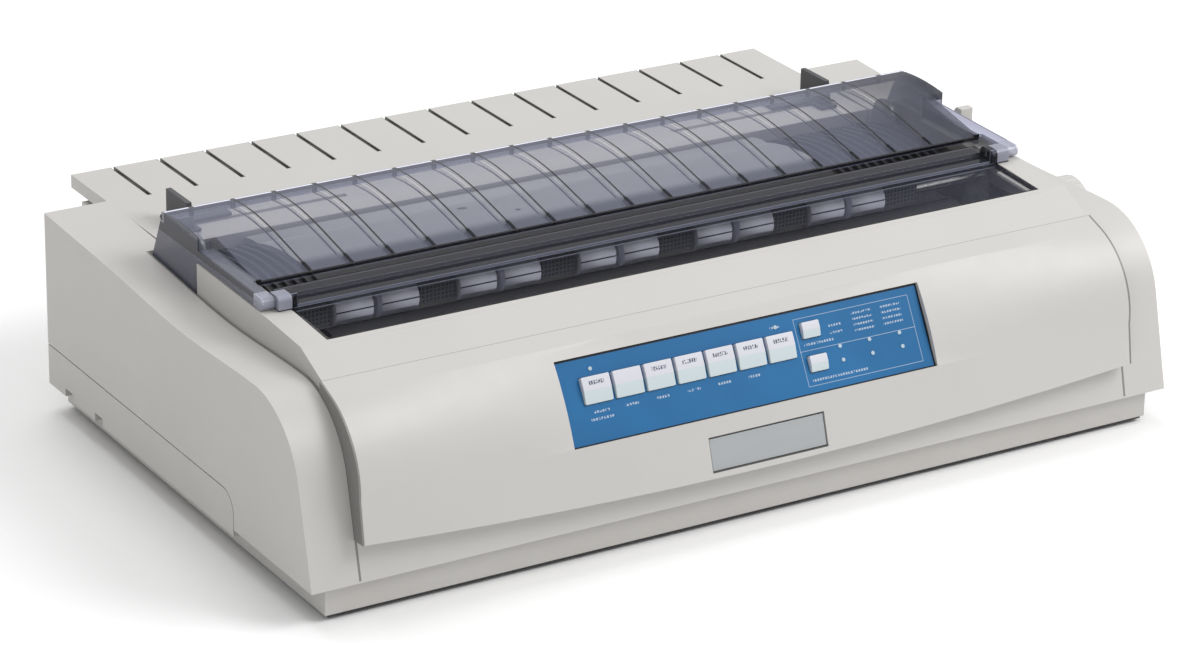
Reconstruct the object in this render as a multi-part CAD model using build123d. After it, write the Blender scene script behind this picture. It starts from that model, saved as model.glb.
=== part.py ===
from build123d import *
import math
import os

# Wide-carriage dot matrix printer, in millimetres.
# X runs left to right, Y from front to back, Z up. Sizes below are measured from the middle of the
# case, with Z = 0 at the underside of the feet. Every part is shifted at the end by the same amount,
# so that the origin lies under the middle of the whole printer.

# --- case ---------------------------------------------------------------------------------------
case_width = 552.0
rear_y = 190.0                # back face of the side strips
hem_y = -131.0                # front bottom edge of the upper housing
hem_z = 20.0
rear_height = 120.0
shoulder_y, shoulder_z = 94.0, 116.0
dip_y, dip_z = 12.0, 111.7    # lowest point of the side strips' sweep
crown_height = 114.0
nose_radius = 50.0
front_lean = 14.0             # degrees from vertical
shell_wall = 3.0
strip_width = 29.0            # side strips beside the covers
seam_z = 40.0                 # joint of the two housings along the sides
seam_front_y = -42.0          # where that joint turns down
seam_corner_radius = 12.0
seam_groove = 0.8
foot_height = 2.0
foot_radius = 9.0
foot_inset_x, foot_inset_y = 34.0, 26.0
plate_under = 1.5             # sheet steel cover under the base
base_floor = 3.0
base_inset = 10.0             # how far the tub stands in from the sides
base_front_y = -126.6
band_bottom_z = 16.0
boss_radius, boss_inset = 6.0, 14.0
side_notch, side_notch_depth, side_notch_rise = 10.0, 4.0, 5.0
side_notch_y = (158.0, 119.0)
vent_pitch, vent_count, vent_width, vent_height = 5.0, 10, 2.2, 5.0
vent_first_y, vent_z = -112.0, 13.5

# --- well in the top and rear hump ----------------------------------------------------------------
cover_seam_y = -87.5
cover_seam_z = 117.1
well_step_y = 117.0           # front well ends, narrower rear well begins
rear_strip_width = 40.0
rear_well_end_y = 196.0
hump_rear_y = 226.6
hump_bottom_z = 62.0
flange_wall = 2.5
flange_bottom_z = 102.0
paper_slot_half = 205.0
paper_slot_z, paper_slot_height = 84.0, 14.0
rest_x, rest_width, rest_depth, rest_inset, rest_gap = 141.6, 16.0, 4.0, 5.0, 0.3   # tray's rests

# --- raised front panel ----------------------------------------------------------------------------
panel_end_gap = 1.0           # panel reaches this far past the well's side
scoop_top_y, scoop_top_z = -99.0, 113.0
scoop_tilt = 29.8             # degrees from vertical
scoop_slant = 54.5
scoop_crown = 9.4             # bulge of the panel at its ends
scoop_lip_reach = 4.4
scoop_half = 240.0
panel_fold_z, panel_fold_rise = 33.8, 8.9    # bottom fold in the middle, and how much higher its ends are
panel_proud = 8.9             # how far the fold stands out of the case's front

# --- control panel ---------------------------------------------------------------------------------
pad_width, pad_slant = 233.5, 47.0
pad_drop = 7.7                # from the scoop's top edge, down the slope
pad_sink = 0.6
pad_thickness = 2.5
pad_gap = 0.3
key_count = 7
key_first_u, key_pitch, key_v = 21.5, 19.5, 18.4
key_width, key_height = 17.4, 14.7
small_key_u, small_key_upper_v, small_key_lower_v = 159.5, 12.3, 31.0
small_key_width, small_key_height = 11.3, 9.0
key_rise = 2.6
key_gap = 0.25
key_flange = 0.7
key_flange_thickness = 1.2
key_travel = 1.2
lamp_radius = 1.1
lamp_rise = 0.4
lamp_u = (176.0, 195.5, 215.5)
lamp_v = (24.6, 32.4)
key_lamp_u, key_lamp_v = 21.0, 7.0
nameplate_width, nameplate_height, nameplate_thickness = 73.5, 17.6, 1.2
nameplate_x, nameplate_z = 2.8, 46.2
nameplate_sink, nameplate_gap = 0.6, 0.6

# --- access cover, smoked window and hood ---------------------------------------------------------
skin = 2.5                    # wall of the covers
cover_gap = 0.5
cover_seam_gap = 0.4
window_front_y, window_front_z = -62.7, 127.8
window_half = 230.0
rail_mid_y, rail_mid_z = -27.0, 129.6
rail_rear_y, rail_rear_z = 57.0, 131.0
cover_skirt_z = 107.0
web_bottom_z = 121.5
ledge_width, ledge_thickness = 4.0, 1.5
window_rear_y = -20.0
window_gap = 0.5
crossbar_rear_y = 1.0
crossbar_top_z = 133.4
crossbar_step = 2.2
crossbar_height = 5.4
cover_pivot_y, cover_pivot_z = 92.0, 122.0
cover_pin_radius = 4.0
cover_boss_radius = 8.0
cover_arm_width = 4.8
hood_pivot_y, hood_pivot_z = -16.0, 133.8
hood_pin_radius = 1.8
hood_eye_radius = 3.5
hood_eye_inset, hood_bearing_inset = 3.3, 4.0    # from the cover arm's outer face
hood_bearing_half = 6.0
hood_side_gap = 1.2           # side wall stands this far in from the well's side
hood_neck_half = 236.0
hood_rear_y, hood_rear_z = 101.0, 145.7
hood_foot_rear_y, hood_foot_rear_z = 114.3, 114.7
hood_foot_front_y, hood_foot_front_z = 60.0, 111.6
hood_neck_y = 57.0
hood_front_y, hood_front_z = 6.0, 136.2
hood_arm_top_z = 138.4
hood_arm_bottom_z = 131.9
hood_rib_pitch = 25.4
hood_rib_side_count = 8
hood_rib_width, hood_rib_depth = 1.2, 3.0
hood_slit_length, hood_slit_width = 8.0, 1.5
hood_lip_depth = 5.0

# --- paper separator and its guides ---------------------------------------------------------------
separator_gap = 1.4
separator_front_y, separator_rear_y = 117.4, 243.8
separator_top_z = 117.5
separator_height = 8.0
separator_pivot_y, separator_pivot_z = 121.5, 112.2
separator_pin_radius = 2.5
separator_slots = 15
separator_slot_pitch = 29.8
separator_slot_length, separator_slot_width = 49.5, 2.0
guide_x = 214.0
guide_front_y, guide_rear_y = 128.0, 158.0
guide_height = 17.0
guide_thickness = 3.4
guide_foot_length, guide_foot_width, guide_foot_thickness = 30.0, 16.0, 2.0
guide_track_y, guide_track_width = 141.0, 4.0
guide_travel = 90.0
guide_track_inner, guide_track_outer = 14.0, 12.0
guide_lift = 0.3

# --- frames ----------------------------------------------------------------------------------------
frame_half = 230.0            # outer faces of the side frames
frame_gauge = 2.0
frame_flange = 12.0
hinge_plate_radius = 11.0
chassis_z = 12.0
chassis_gauge = 1.5
chassis_front_y, chassis_rear_y = -117.0, 183.0
running = 0.05                # radial clearance of turning and sliding fits
rod_end = 1.5                 # rods stand this far out of the frames

# --- platen, pressure rollers and paper path -----------------------------------------------------
platen_y, platen_z = -15.5, 92.0
platen_radius = 18.0
platen_half = 205.0
platen_shaft_radius = 6.0
knob_radius, knob_length = 17.0, 16.0
knob_gap = 0.6
knob_flutes = 24
knob_flute_radius, knob_flute_reach = 2.0, 1.4
knob_cap = 3.0
roller_radius, roller_width = 9.0, 22.5
roller_y = -6.5
roller_gap = 0.3
roller_shaft_radius = 3.0
roller_pairs = 5
roller_pitch = 76.2
roller_first_x = -174.4
roller_spread = 14.0
bar_front_y, bar_thickness = 4.2, 4.5
bracket_width, bracket_bottom, bracket_top = 22.0, 5.0, 7.0
pan_gap, pan_gauge = 1.5, 1.2
pan_rear_y, pan_rear_z = 112.0, 66.0
chute_front_y, chute_rear_y = 10.5, 98.0
chute_front_z, chute_crest_z, chute_rear_z = 112.0, 119.0, 113.0
chute_sheet = 2.2
chute_left, chute_right = -188.0, 150.0
chute_rib_pitch, chute_rib_width, chute_rib_height = 6.0, 1.4, 3.0

# --- gear train ------------------------------------------------------------------------------------
module = 1.0
addendum, dedendum = 0.8, 1.1    # in modules
pressure_angle = 20.0
platen_teeth, idler_teeth, tractor_teeth, pinion_teeth = 42, 60, 42, 16
gear_width = 5.0
gear_gap = 0.7
backlash = 0.16
idler_z = 74.0
stud_radius = 4.0
motor_angle = -120.0
feed_motor_radius, feed_motor_length = 21.0, 24.0
motor_shaft_radius = 2.0

# --- carriage --------------------------------------------------------------------------------------
carriage_home_x = -165.0
carriage_half = 30.0
rod_y, rod_z, rod_radius = -64.5, 44.0, 6.0
carriage_front_y, carriage_rear_y = -75.5, -46.5
carriage_bottom_z, carriage_top_z = 30.0, 60.0
rack_top_z, rack_height = 34.0, 8.0
rack_back = 4.0
rack_gap = 0.5                # carriage's arm above the rack
carriage_arm = 3.5
space_motor_radius, space_motor_height = 13.0, 18.0
pinion_y = -89.5
head_gap = 1.4
nose_half_width, nose_half_height, nose_length = 6.0, 6.5, 15.0
head_half_width, head_depth, head_bottom_z, head_top_z = 18.0, 25.0, 66.0, 100.0
fin_count, fin_depth = 6, 2.0
ribbon_half = 56.0
ribbon_front_y, ribbon_rear_y = -79.5, -40.5
ribbon_bottom_z, ribbon_top_z = 84.5, 100.5
ribbon_thickness, ribbon_half_height = 0.4, 6.3
ribbon_arm_x, ribbon_arm_width = 42.0, 4.0
ribbon_knob_radius, ribbon_knob_height = 7.0, 4.0
ribbon_knob_x, ribbon_knob_y = 40.0, -62.5
ribbon_knob_gap = 0.3
ribbon_knob_notches, ribbon_notch_radius = 8, 1.6

# --- tractors --------------------------------------------------------------------------------------
tractor_x = 180.0
tractor_width, tractor_length = 20.0, 60.0
tractor_front_y = 117.0
tractor_bottom_z, tractor_top_z = 60.0, 83.0
square_shaft = 8.0
guide_rod_y, guide_rod_z, guide_rod_radius = 166.0, 72.0, 4.0
lid_thickness, lid_gap = 2.4, 0.4
lid_pin_radius, lid_end = 0.6, 3.5

# --- lever, electrics ------------------------------------------------------------------------------
lever_x, lever_y, lever_width = 268.5, 66.0, 9.0
lever_pivot_z, lever_top_z = 92.0, 130.0
lever_thickness = 7.0
lever_boss_radius, lever_shaft_radius = 7.0, 4.0
lever_slot_half = 14.0
board_left, board_right, board_front_y, board_rear_y = 40.0, 215.0, 60.0, 172.0
board_z, board_thickness = 22.0, 1.6
standoff_radius, standoff_inset = 3.0, 6.0
chip_height = 3.5
# Left x, front y, width and depth of each chip.
chips = ((60, 80, 30, 12), (110, 84, 36, 12), (160, 90, 16, 16), (80, 120, 36, 12), (140, 126, 30, 12))
supply_left, supply_right, supply_front_y, supply_rear_y = -200.0, -112.0, 70.0, 140.0
supply_top_z, winding_overhang = 56.0, 14.0
inlet_x, inlet_z, inlet_width, inlet_height = -140.0, 27.0, 28.0, 20.0
port_x, port_z, port_width, port_height = 100.0, 28.5, 58.0, 15.0
socket_wall, socket_depth, socket_body = 2.0, 10.0, 16.0
blade_places = ((-7.0, -2.0), (0.0, 2.5), (7.0, -2.0))    # across and up from the inlet's middle
blade_length, tongue_inset, tongue_half = 7.0, 6.0, 0.9
switch_x, switch_z, switch_width, switch_height = -185.0, 27.0, 14.0, 20.0
switch_bulge, switch_gap = 2.5, 0.4
switch_pin_radius, switch_pivot_depth, switch_lug = 1.5, 5.0, 3.0

# --- places worked out from the sizes -------------------------------------------------------------
case_half = case_width / 2
well_half = case_half - strip_width
rear_well_half = case_half - rear_strip_width
panel_half = well_half + panel_end_gap
separator_half = rear_well_half - separator_gap
separator_under_z = separator_top_z - separator_height
hump_top_z = separator_under_z - 2.5
base_z = foot_height + plate_under
chassis_top_z = chassis_z + chassis_gauge
frame_inner = frame_half - frame_gauge
cover_outer = well_half - cover_gap
hood_outer = well_half - hood_side_gap
hood_inner = hood_outer - skin
cover_arm_outer = hood_inner - cover_gap - 1.2
cover_arm_inner = cover_arm_outer - cover_arm_width
lean = math.radians(front_lean)
nose_z = crown_height - nose_radius
lean_run = (nose_z - hem_z + nose_radius * math.sin(lean)) / math.cos(lean)
nose_y = hem_y + lean_run * math.sin(lean) + nose_radius * math.cos(lean)

tilt = math.radians(scoop_tilt)
slope_y, slope_z = -math.sin(tilt), -math.cos(tilt)      # down the scoop's floor
out_y, out_z = -math.cos(tilt), math.sin(tilt)           # out of the scoop's floor
pad_middle = pad_drop + pad_slant / 2
pad_centre = (
    0,
    scoop_top_y + pad_middle * slope_y - pad_sink * out_y,
    scoop_top_z + pad_middle * slope_z - pad_sink * out_z,
)
pad_plane = Plane(origin=pad_centre, x_dir=(1, 0, 0), z_dir=(0, out_y, out_z))

roller_reach = platen_radius + roller_radius + roller_gap
roller_z = platen_z + math.sqrt(roller_reach**2 - (roller_y - platen_y) ** 2)
platen_pitch_radius = module * platen_teeth / 2
idler_pitch_radius = module * idler_teeth / 2
tractor_pitch_radius = module * tractor_teeth / 2
pinion_pitch_radius = module * pinion_teeth / 2
train_reach = platen_pitch_radius + idler_pitch_radius
idler_front_y = platen_y + math.sqrt(train_reach**2 - (platen_z - idler_z) ** 2)
idler_rear_y = idler_front_y + 2 * idler_pitch_radius
tractor_y = idler_rear_y + idler_pitch_radius + tractor_pitch_radius
tractor_z = idler_z
motor_reach = idler_pitch_radius + pinion_pitch_radius
feed_motor_y = idler_front_y + motor_reach * math.cos(math.radians(motor_angle))
feed_motor_z = idler_z + motor_reach * math.sin(math.radians(motor_angle))
gear_right = -frame_half - gear_gap
gear_left = gear_right - gear_width
rack_pitch_y = pinion_y - pinion_pitch_radius
nose_tip_y = platen_y - platen_radius - head_gap
knob_left = case_half + knob_gap
knob_right = knob_left + knob_length

panel_front_y = hem_y + (panel_fold_z - hem_z) * math.tan(lean) - panel_proud

# The printer's overall box, which sets the origin.
middle_x = (knob_right - case_half) / 2
middle_y = (separator_rear_y + panel_front_y) / 2
to_origin = Pos(-middle_x, -middle_y, 0)


# --- small builders --------------------------------------------------------------------------------
def block(x0, x1, y0, y1, z0, z1):
    """A box between two corners."""
    middle = Pos((x0 + x1) / 2, (y0 + y1) / 2, (z0 + z1) / 2)
    return middle * Box(x1 - x0, y1 - y0, z1 - z0)


def bar(x0, x1, y, z, radius):
    """A round bar along X."""
    return Pos((x0 + x1) / 2, y, z) * Rot(0, 90, 0) * Cylinder(radius, x1 - x0)


def post(x, y, z0, z1, radius):
    """A round post along Z."""
    return Pos(x, y, (z0 + z1) / 2) * Cylinder(radius, z1 - z0)


def slab(outline, x0, x1):
    """A solid from x0 to x1 whose section is a closed outline of edges in the YZ plane."""
    return extrude(Pos(x0, 0, 0) * make_face(outline), amount=x1 - x0, dir=(1, 0, 0))


def plate(points, x0, x1):
    """A flat plate from x0 to x1 with a straight-sided outline of (y, z) points."""
    return slab(Polyline(*[(0, y, z) for y, z in points], close=True), x0, x1)


def other_side(shape):
    """The same part on the other side of the printer."""
    return mirror(shape, about=Plane.YZ)


def both_sides(shape):
    """A part and its twin on the other side."""
    return shape + other_side(shape)


def on_pad(u, v, height, shape):
    """A shape placed on the control panel, u from its left edge, v down from its top edge."""
    local = Pos(u - pad_width / 2, pad_slant / 2 - v, height)
    return pad_plane.location * local * shape


def save(node, shape):
    """Shift a finished part to the printer's origin and write it."""
    export_step(to_origin * shape, f"parts/{node}.step")


# --- housings --------------------------------------------------------------------------------------
def front_y(z, inset=0.0):
    """The lower front face of the case at a height."""
    return hem_y + (z - hem_z) * math.tan(lean) + inset / math.cos(lean)


def case_section(inset, low_z):
    """The case's side outline: swept top, round nose and leaning front, moved inwards by inset."""
    radius = nose_radius - inset
    crown = (0, nose_y, crown_height - inset)
    half_turn = (math.pi / 2 - lean) / 2
    nose_mid = (0, nose_y - radius * math.sin(half_turn), nose_z + radius * math.cos(half_turn))
    nose_end = (0, nose_y - radius * math.cos(lean), nose_z + radius * math.sin(lean))
    low_front = (0, front_y(low_z, inset), low_z)
    back_top = (0, rear_y - inset, rear_height - inset)
    back_low = (0, rear_y - inset, low_z)
    sweep = Spline(
        crown,
        (0, dip_y, dip_z - inset),
        (0, shoulder_y, shoulder_z - inset),
        back_top,
        tangents=[(0, 1, 0), (0, 1, 0.045)],
    )
    nose = ThreePointArc(nose_end, nose_mid, crown)
    return nose + sweep + Polyline(back_top, back_low, low_front, nose_end)


def lower_side_section(grow=0.0):
    """The outline of the lower housing's side, whose front top corner is round."""
    points = [
        (0, seam_front_y - grow, hem_z - 30),
        (0, seam_front_y - grow, seam_z + grow),
        (0, rear_y + 50, seam_z + grow),
        (0, rear_y + 50, hem_z - 30),
    ]
    face = make_face(Polyline(*points, close=True))
    corner = face.vertices().sort_by(lambda v: (v.Y - v.Z))[0]
    return fillet(corner, seam_corner_radius + grow)


def lower_side_cut(half_width, grow=0.0):
    """Everything inside that outline, as wide as asked."""
    return extrude(Pos(-half_width, 0, 0) * lower_side_section(grow), amount=2 * half_width, dir=(1, 0, 0))


def front_bulge_section(x, inset):
    """The raised front panel's outline at x: flat across the scoop in the middle, round at its ends."""
    share = min(abs(x) / scoop_half, 1.0) ** 2
    push_y, push_z = -inset * out_y, -inset * out_z
    seam_slope = (cover_seam_z - scoop_top_z) / (cover_seam_y - scoop_top_y)
    back_y = cover_seam_y - inset
    seam = (x, back_y, cover_seam_z - inset * (seam_slope + 1.1))
    top = (x, scoop_top_y + push_y, scoop_top_z + push_z)
    lip = (
        x,
        scoop_top_y + scoop_slant * slope_y - scoop_lip_reach * share + push_y,
        scoop_top_z + scoop_slant * slope_z + push_z,
    )
    crown = 0.05 + scoop_crown * share
    middle = (
        x,
        (top[1] + lip[1]) / 2 + crown * out_y,
        (top[2] + lip[2]) / 2 + crown * out_z,
    )
    fold_z = panel_fold_z + panel_fold_rise * (x / panel_half) ** 2
    fold = (x, front_y(fold_z) - panel_proud + inset, fold_z + inset)
    under = (x, back_y, fold_z - 2.6 + 1.9 * inset)
    return make_face(ThreePointArc(top, middle, lip) + Polyline(lip, fold, under, seam, top))


def front_bulge(half_width, inset):
    """The raised front panel as a body, lofted through its outlines."""
    steps = 8
    places = [half_width * (2 * i / steps - 1) for i in range(steps + 1)]
    return loft([front_bulge_section(x, inset) for x in places])


def pad_opening():
    """The rectangular opening that the control panel drops into."""
    width, slant = pad_width + 2 * pad_gap, pad_slant + 2 * pad_gap
    return on_pad(pad_width / 2, pad_slant / 2, 0, Box(width, slant, 30))


def pad_ledge():
    """A rim behind the opening that the control panel rests on."""
    width, slant = pad_width + 6, pad_slant + 5
    rim = Box(width, slant, 1.8) - Box(pad_width - 5, pad_slant - 4, 4)
    return on_pad(pad_width / 2, pad_slant / 2, -pad_thickness - 0.9, rim)


def hump(inset):
    """The hump at the rear under the separator, as a body moved inwards by inset."""
    points = [
        (rear_y - 20, hump_bottom_z - 24 + 1.4 * inset),
        (hump_rear_y - inset, hump_bottom_z + 1.4 * inset),
        (hump_rear_y - inset, hump_top_z - inset),
        (rear_y - 20, hump_top_z - inset),
    ]
    return plate(points, -rear_well_half + inset, rear_well_half - inset)


def on_lower_face(down, out):
    """A place on the panel's lower face in the middle, down from the scoop's lip and out of the face."""
    lip_y = scoop_top_y + scoop_slant * slope_y
    lip_z = scoop_top_z + scoop_slant * slope_z
    length = math.hypot(panel_front_y - lip_y, panel_fold_z - lip_z)
    down_y, down_z = (panel_front_y - lip_y) / length, (panel_fold_z - lip_z) / length
    return lip_y + down * down_y + out * down_z, lip_z + down * down_z - out * down_y


def nameplate_body(gap, low, high):
    """A plate on the lower face between two depths, grown by a gap on every side."""
    face_top, face_bottom = on_lower_face(0, 0)[1], on_lower_face(1, 0)[1]
    middle = (face_top - nameplate_z) / (face_top - face_bottom)
    near, far = middle - nameplate_height / 2 - gap, middle + nameplate_height / 2 + gap
    points = [on_lower_face(near, low), on_lower_face(far, low),
              on_lower_face(far, high), on_lower_face(near, high)]
    half = nameplate_width / 2 + gap
    return plate(points, nameplate_x - half, nameplate_x + half)


def well_flange(outer):
    """Walls that run down inside the openings in the top."""
    front = block(well_half, well_half + flange_wall, cover_seam_y, well_step_y, flange_bottom_z, 200)
    rear = block(
        rear_well_half, rear_well_half + flange_wall, well_step_y, rear_y - shell_wall, flange_bottom_z, 200
    )
    step = block(
        rear_well_half, well_half + flange_wall, well_step_y, well_step_y + flange_wall, flange_bottom_z, 200
    )
    return both_sides(outer & front) + both_sides(outer & rear) + both_sides(outer & step)


def upper_housing():
    outer = slab(case_section(0, hem_z), -case_half, case_half)
    inner = slab(case_section(shell_wall, hem_z - 20), -case_half + shell_wall, case_half - shell_wall)
    flange = well_flange(outer)
    body = outer + hump(0) + front_bulge(panel_half, 0)
    body -= inner
    body -= hump(shell_wall)
    body -= front_bulge(panel_half - shell_wall, shell_wall)
    body -= block(-well_half, well_half, cover_seam_y, well_step_y, 90, 200)
    body -= block(-rear_well_half, rear_well_half, well_step_y - 1, rear_y + 1, hump_top_z, 200)
    body -= block(-rear_well_half + 3, rear_well_half - 3, well_step_y, rear_well_end_y, 80, 200)
    body += flange
    body += pad_ledge() & slab(case_section(-30, hem_z), -case_half, case_half)
    body -= pad_opening() - pad_ledge()
    body -= lower_side_cut(case_half + 1)
    body -= nameplate_body(nameplate_gap, -nameplate_sink - nameplate_thickness, 3)
    groove = lower_side_cut(case_half + 1, seam_groove) - lower_side_cut(case_half - seam_groove, seam_groove)
    body -= groove
    body -= block(-paper_slot_half, paper_slot_half, rear_y, hump_rear_y + 5,
                  paper_slot_z, paper_slot_z + paper_slot_height)
    knob_hole = bar(case_half - 10, case_half + 1, platen_y, platen_z, platen_shaft_radius + 3)
    body -= knob_hole
    lever_room = lever_width / 2 + 0.8
    body -= block(lever_x - lever_room, lever_x + lever_room, lever_y - lever_slot_half,
                  lever_y + lever_slot_half, flange_bottom_z, 130)
    pin_hole = bar(rear_well_half - 1, rear_well_half + flange_wall + 1, separator_pivot_y,
                   separator_pivot_z, separator_pin_radius + running)
    body -= both_sides(pin_hole)
    rest_rear = hump_rear_y - rest_inset
    rest = block(rest_x - rest_width / 2, rest_x + rest_width / 2, rest_rear - rest_depth, rest_rear,
                 hump_top_z - 1, separator_under_z - rest_gap)
    body += both_sides(rest)
    return body


def base_bosses(top_z):
    """Round bosses on the floor that carry the chassis plate."""
    bosses = [
        post(x, y, base_z + base_floor - 0.5, top_z, boss_radius)
        for x in (-0.8 * frame_half, 0, 0.8 * frame_half)
        for y in (chassis_front_y + boss_inset, chassis_rear_y - boss_inset)
    ]
    return bosses[0] + bosses[1:]


def socket_openings():
    """Cut-outs in the rear wall for the inlet, the port and the switch."""
    deep_y0, deep_y1 = rear_y - shell_wall - 2, rear_y + 2
    inlet = block(inlet_x - inlet_width / 2, inlet_x + inlet_width / 2, deep_y0, deep_y1,
                  inlet_z - inlet_height / 2, inlet_z + inlet_height / 2)
    port = block(port_x - port_width / 2, port_x + port_width / 2, deep_y0, deep_y1,
                 port_z - port_height / 2, port_z + port_height / 2)
    half_w, half_h = switch_width / 2 + switch_gap, switch_height / 2 + switch_gap
    switch = block(switch_x - half_w, switch_x + half_w, deep_y0, deep_y1,
                   switch_z - half_h, switch_z + half_h)
    return inlet + port + switch


def switch_pivots():
    """Lugs behind the rear wall with the rocker's pivot pins."""
    half = switch_width / 2
    wall_y = rear_y - shell_wall
    lug_x = switch_x + half + switch_gap
    lug = block(lug_x, lug_x + switch_lug, wall_y - switch_pivot_depth - 4, wall_y,
                switch_z - 4, switch_z + 4)
    pin = bar(switch_x + half - 2, lug_x + 1, wall_y - switch_pivot_depth, switch_z, switch_pin_radius)
    pair = lug + pin
    return pair + mirror(pair, about=Plane.YZ.offset(switch_x))


def lower_housing():
    half_tub = case_half - base_inset
    outline = slab(case_section(0, base_z), -case_half, case_half)
    band = block(-case_half, case_half, seam_front_y, rear_y, band_bottom_z, seam_z) & outline
    band &= lower_side_cut(case_half)
    tub = block(-half_tub, half_tub, base_front_y, rear_y - 3, base_z, hem_z)
    body = band + tub
    chin_lip = block(-half_tub, half_tub, base_front_y, base_front_y + shell_wall, hem_z - 1, hem_z + 4)
    body += chin_lip & slab(case_section(shell_wall + 0.3, base_z), -case_half, case_half)
    body -= block(-half_tub + shell_wall, half_tub - shell_wall, base_front_y + shell_wall,
                  rear_y - shell_wall, base_z + base_floor, seam_z + 5)
    body -= block(-case_half + shell_wall, case_half - shell_wall, seam_front_y + shell_wall,
                  rear_y - shell_wall, band_bottom_z + base_floor, seam_z + 5)
    body += base_bosses(chassis_z)
    for y in side_notch_y:
        notch = block(case_half - side_notch_depth, case_half + 1, y, y + side_notch,
                      band_bottom_z - 1, band_bottom_z + side_notch_rise)
        body -= both_sides(notch)
    for i in range(vent_count):
        y = vent_first_y + vent_pitch * i
        vent = block(half_tub - shell_wall - 1, half_tub + 1, y, y + vent_width,
                     vent_z - vent_height / 2, vent_z + vent_height / 2)
        body -= both_sides(vent)
    body -= socket_openings()
    body += switch_pivots()
    return body


def bottom_cover():
    half_tub = case_half - base_inset - 2
    return block(-half_tub, half_tub, base_front_y + 1, rear_y - 6, foot_height, base_z)


def feet():
    x = case_half - foot_inset_x
    pads = [
        post(side * x, y, 0, foot_height, foot_radius)
        for side in (-1, 1)
        for y in (base_front_y + foot_inset_y, rear_y - foot_inset_y)
    ]
    return pads[0] + pads[1:]


# --- control panel ---------------------------------------------------------------------------------
def key_places():
    """Centre and size of each key: the row of large ones, then the two small ones."""
    large = [(key_first_u + key_pitch * i, key_v, key_width, key_height) for i in range(key_count)]
    small = [(small_key_u, v, small_key_width, small_key_height)
             for v in (small_key_upper_v, small_key_lower_v)]
    return large, small


def lamp_places():
    """Centres of the panel's round lamps."""
    places = [(u, v) for u in lamp_u for v in lamp_v]
    places.append((key_lamp_u, key_lamp_v))
    places.append((key_first_u + key_pitch * (key_count - 1), key_lamp_v))
    return places


def control_panel():
    large, small = key_places()
    body = on_pad(pad_width / 2, pad_slant / 2, -pad_thickness / 2, Box(pad_width, pad_slant, pad_thickness))
    for u, v, width, height in large + small:
        hole = Box(width + 2 * key_gap, height + 2 * key_gap, 4 * pad_thickness)
        body -= on_pad(u, v, 0, hole)
    for u, v in lamp_places():
        body -= on_pad(u, v, 0, Cylinder(lamp_radius, 4 * pad_thickness))
    return body


def key(u, v, width, height):
    """A key cap with a flat upper half, a falling lower half and a flange behind the panel."""
    depth = pad_thickness + key_travel
    cap = Pos(0, 0, (key_rise - depth) / 2) * Box(width, height, key_rise + depth)
    fall = key_rise * 0.55
    outline = Polyline(
        (0, 0.02 * height, key_rise), (0, -height / 2 - 1, key_rise - fall),
        (0, -height / 2 - 1, key_rise + 1), (0, 0.02 * height, key_rise + 1), close=True,
    )
    cap -= extrude(Pos(-width, 0, 0) * make_face(outline), amount=2 * width, dir=(1, 0, 0))
    cap = chamfer(cap.edges().filter_by(Axis.Z), 0.5)
    flange_z = -pad_thickness - 0.3 - key_flange_thickness / 2
    flange = Pos(0, 0, flange_z) * Box(width + 2 * key_flange, height + 2 * key_flange, key_flange_thickness)
    return on_pad(u, v, 0, cap + flange)


def panel_lamps():
    length = pad_thickness + lamp_rise
    lamps = [
        on_pad(u, v, lamp_rise - length / 2, Cylinder(lamp_radius, length)) for u, v in lamp_places()
    ]
    return lamps[0] + lamps[1:]


def nameplate():
    """A bare plate sunk in the panel's lower face."""
    return nameplate_body(0, -nameplate_sink - nameplate_thickness, -nameplate_sink)


# --- covers ----------------------------------------------------------------------------------------
def rail_top(y):
    """Height of the access cover's side rails at y."""
    if y < rail_mid_y:
        share = (y - window_front_y) / (rail_mid_y - window_front_y)
        return window_front_z + share * (rail_mid_z - window_front_z)
    share = (y - rail_mid_y) / (rail_rear_y - rail_mid_y)
    return rail_mid_z + share * (rail_rear_z - rail_mid_z)


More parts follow.
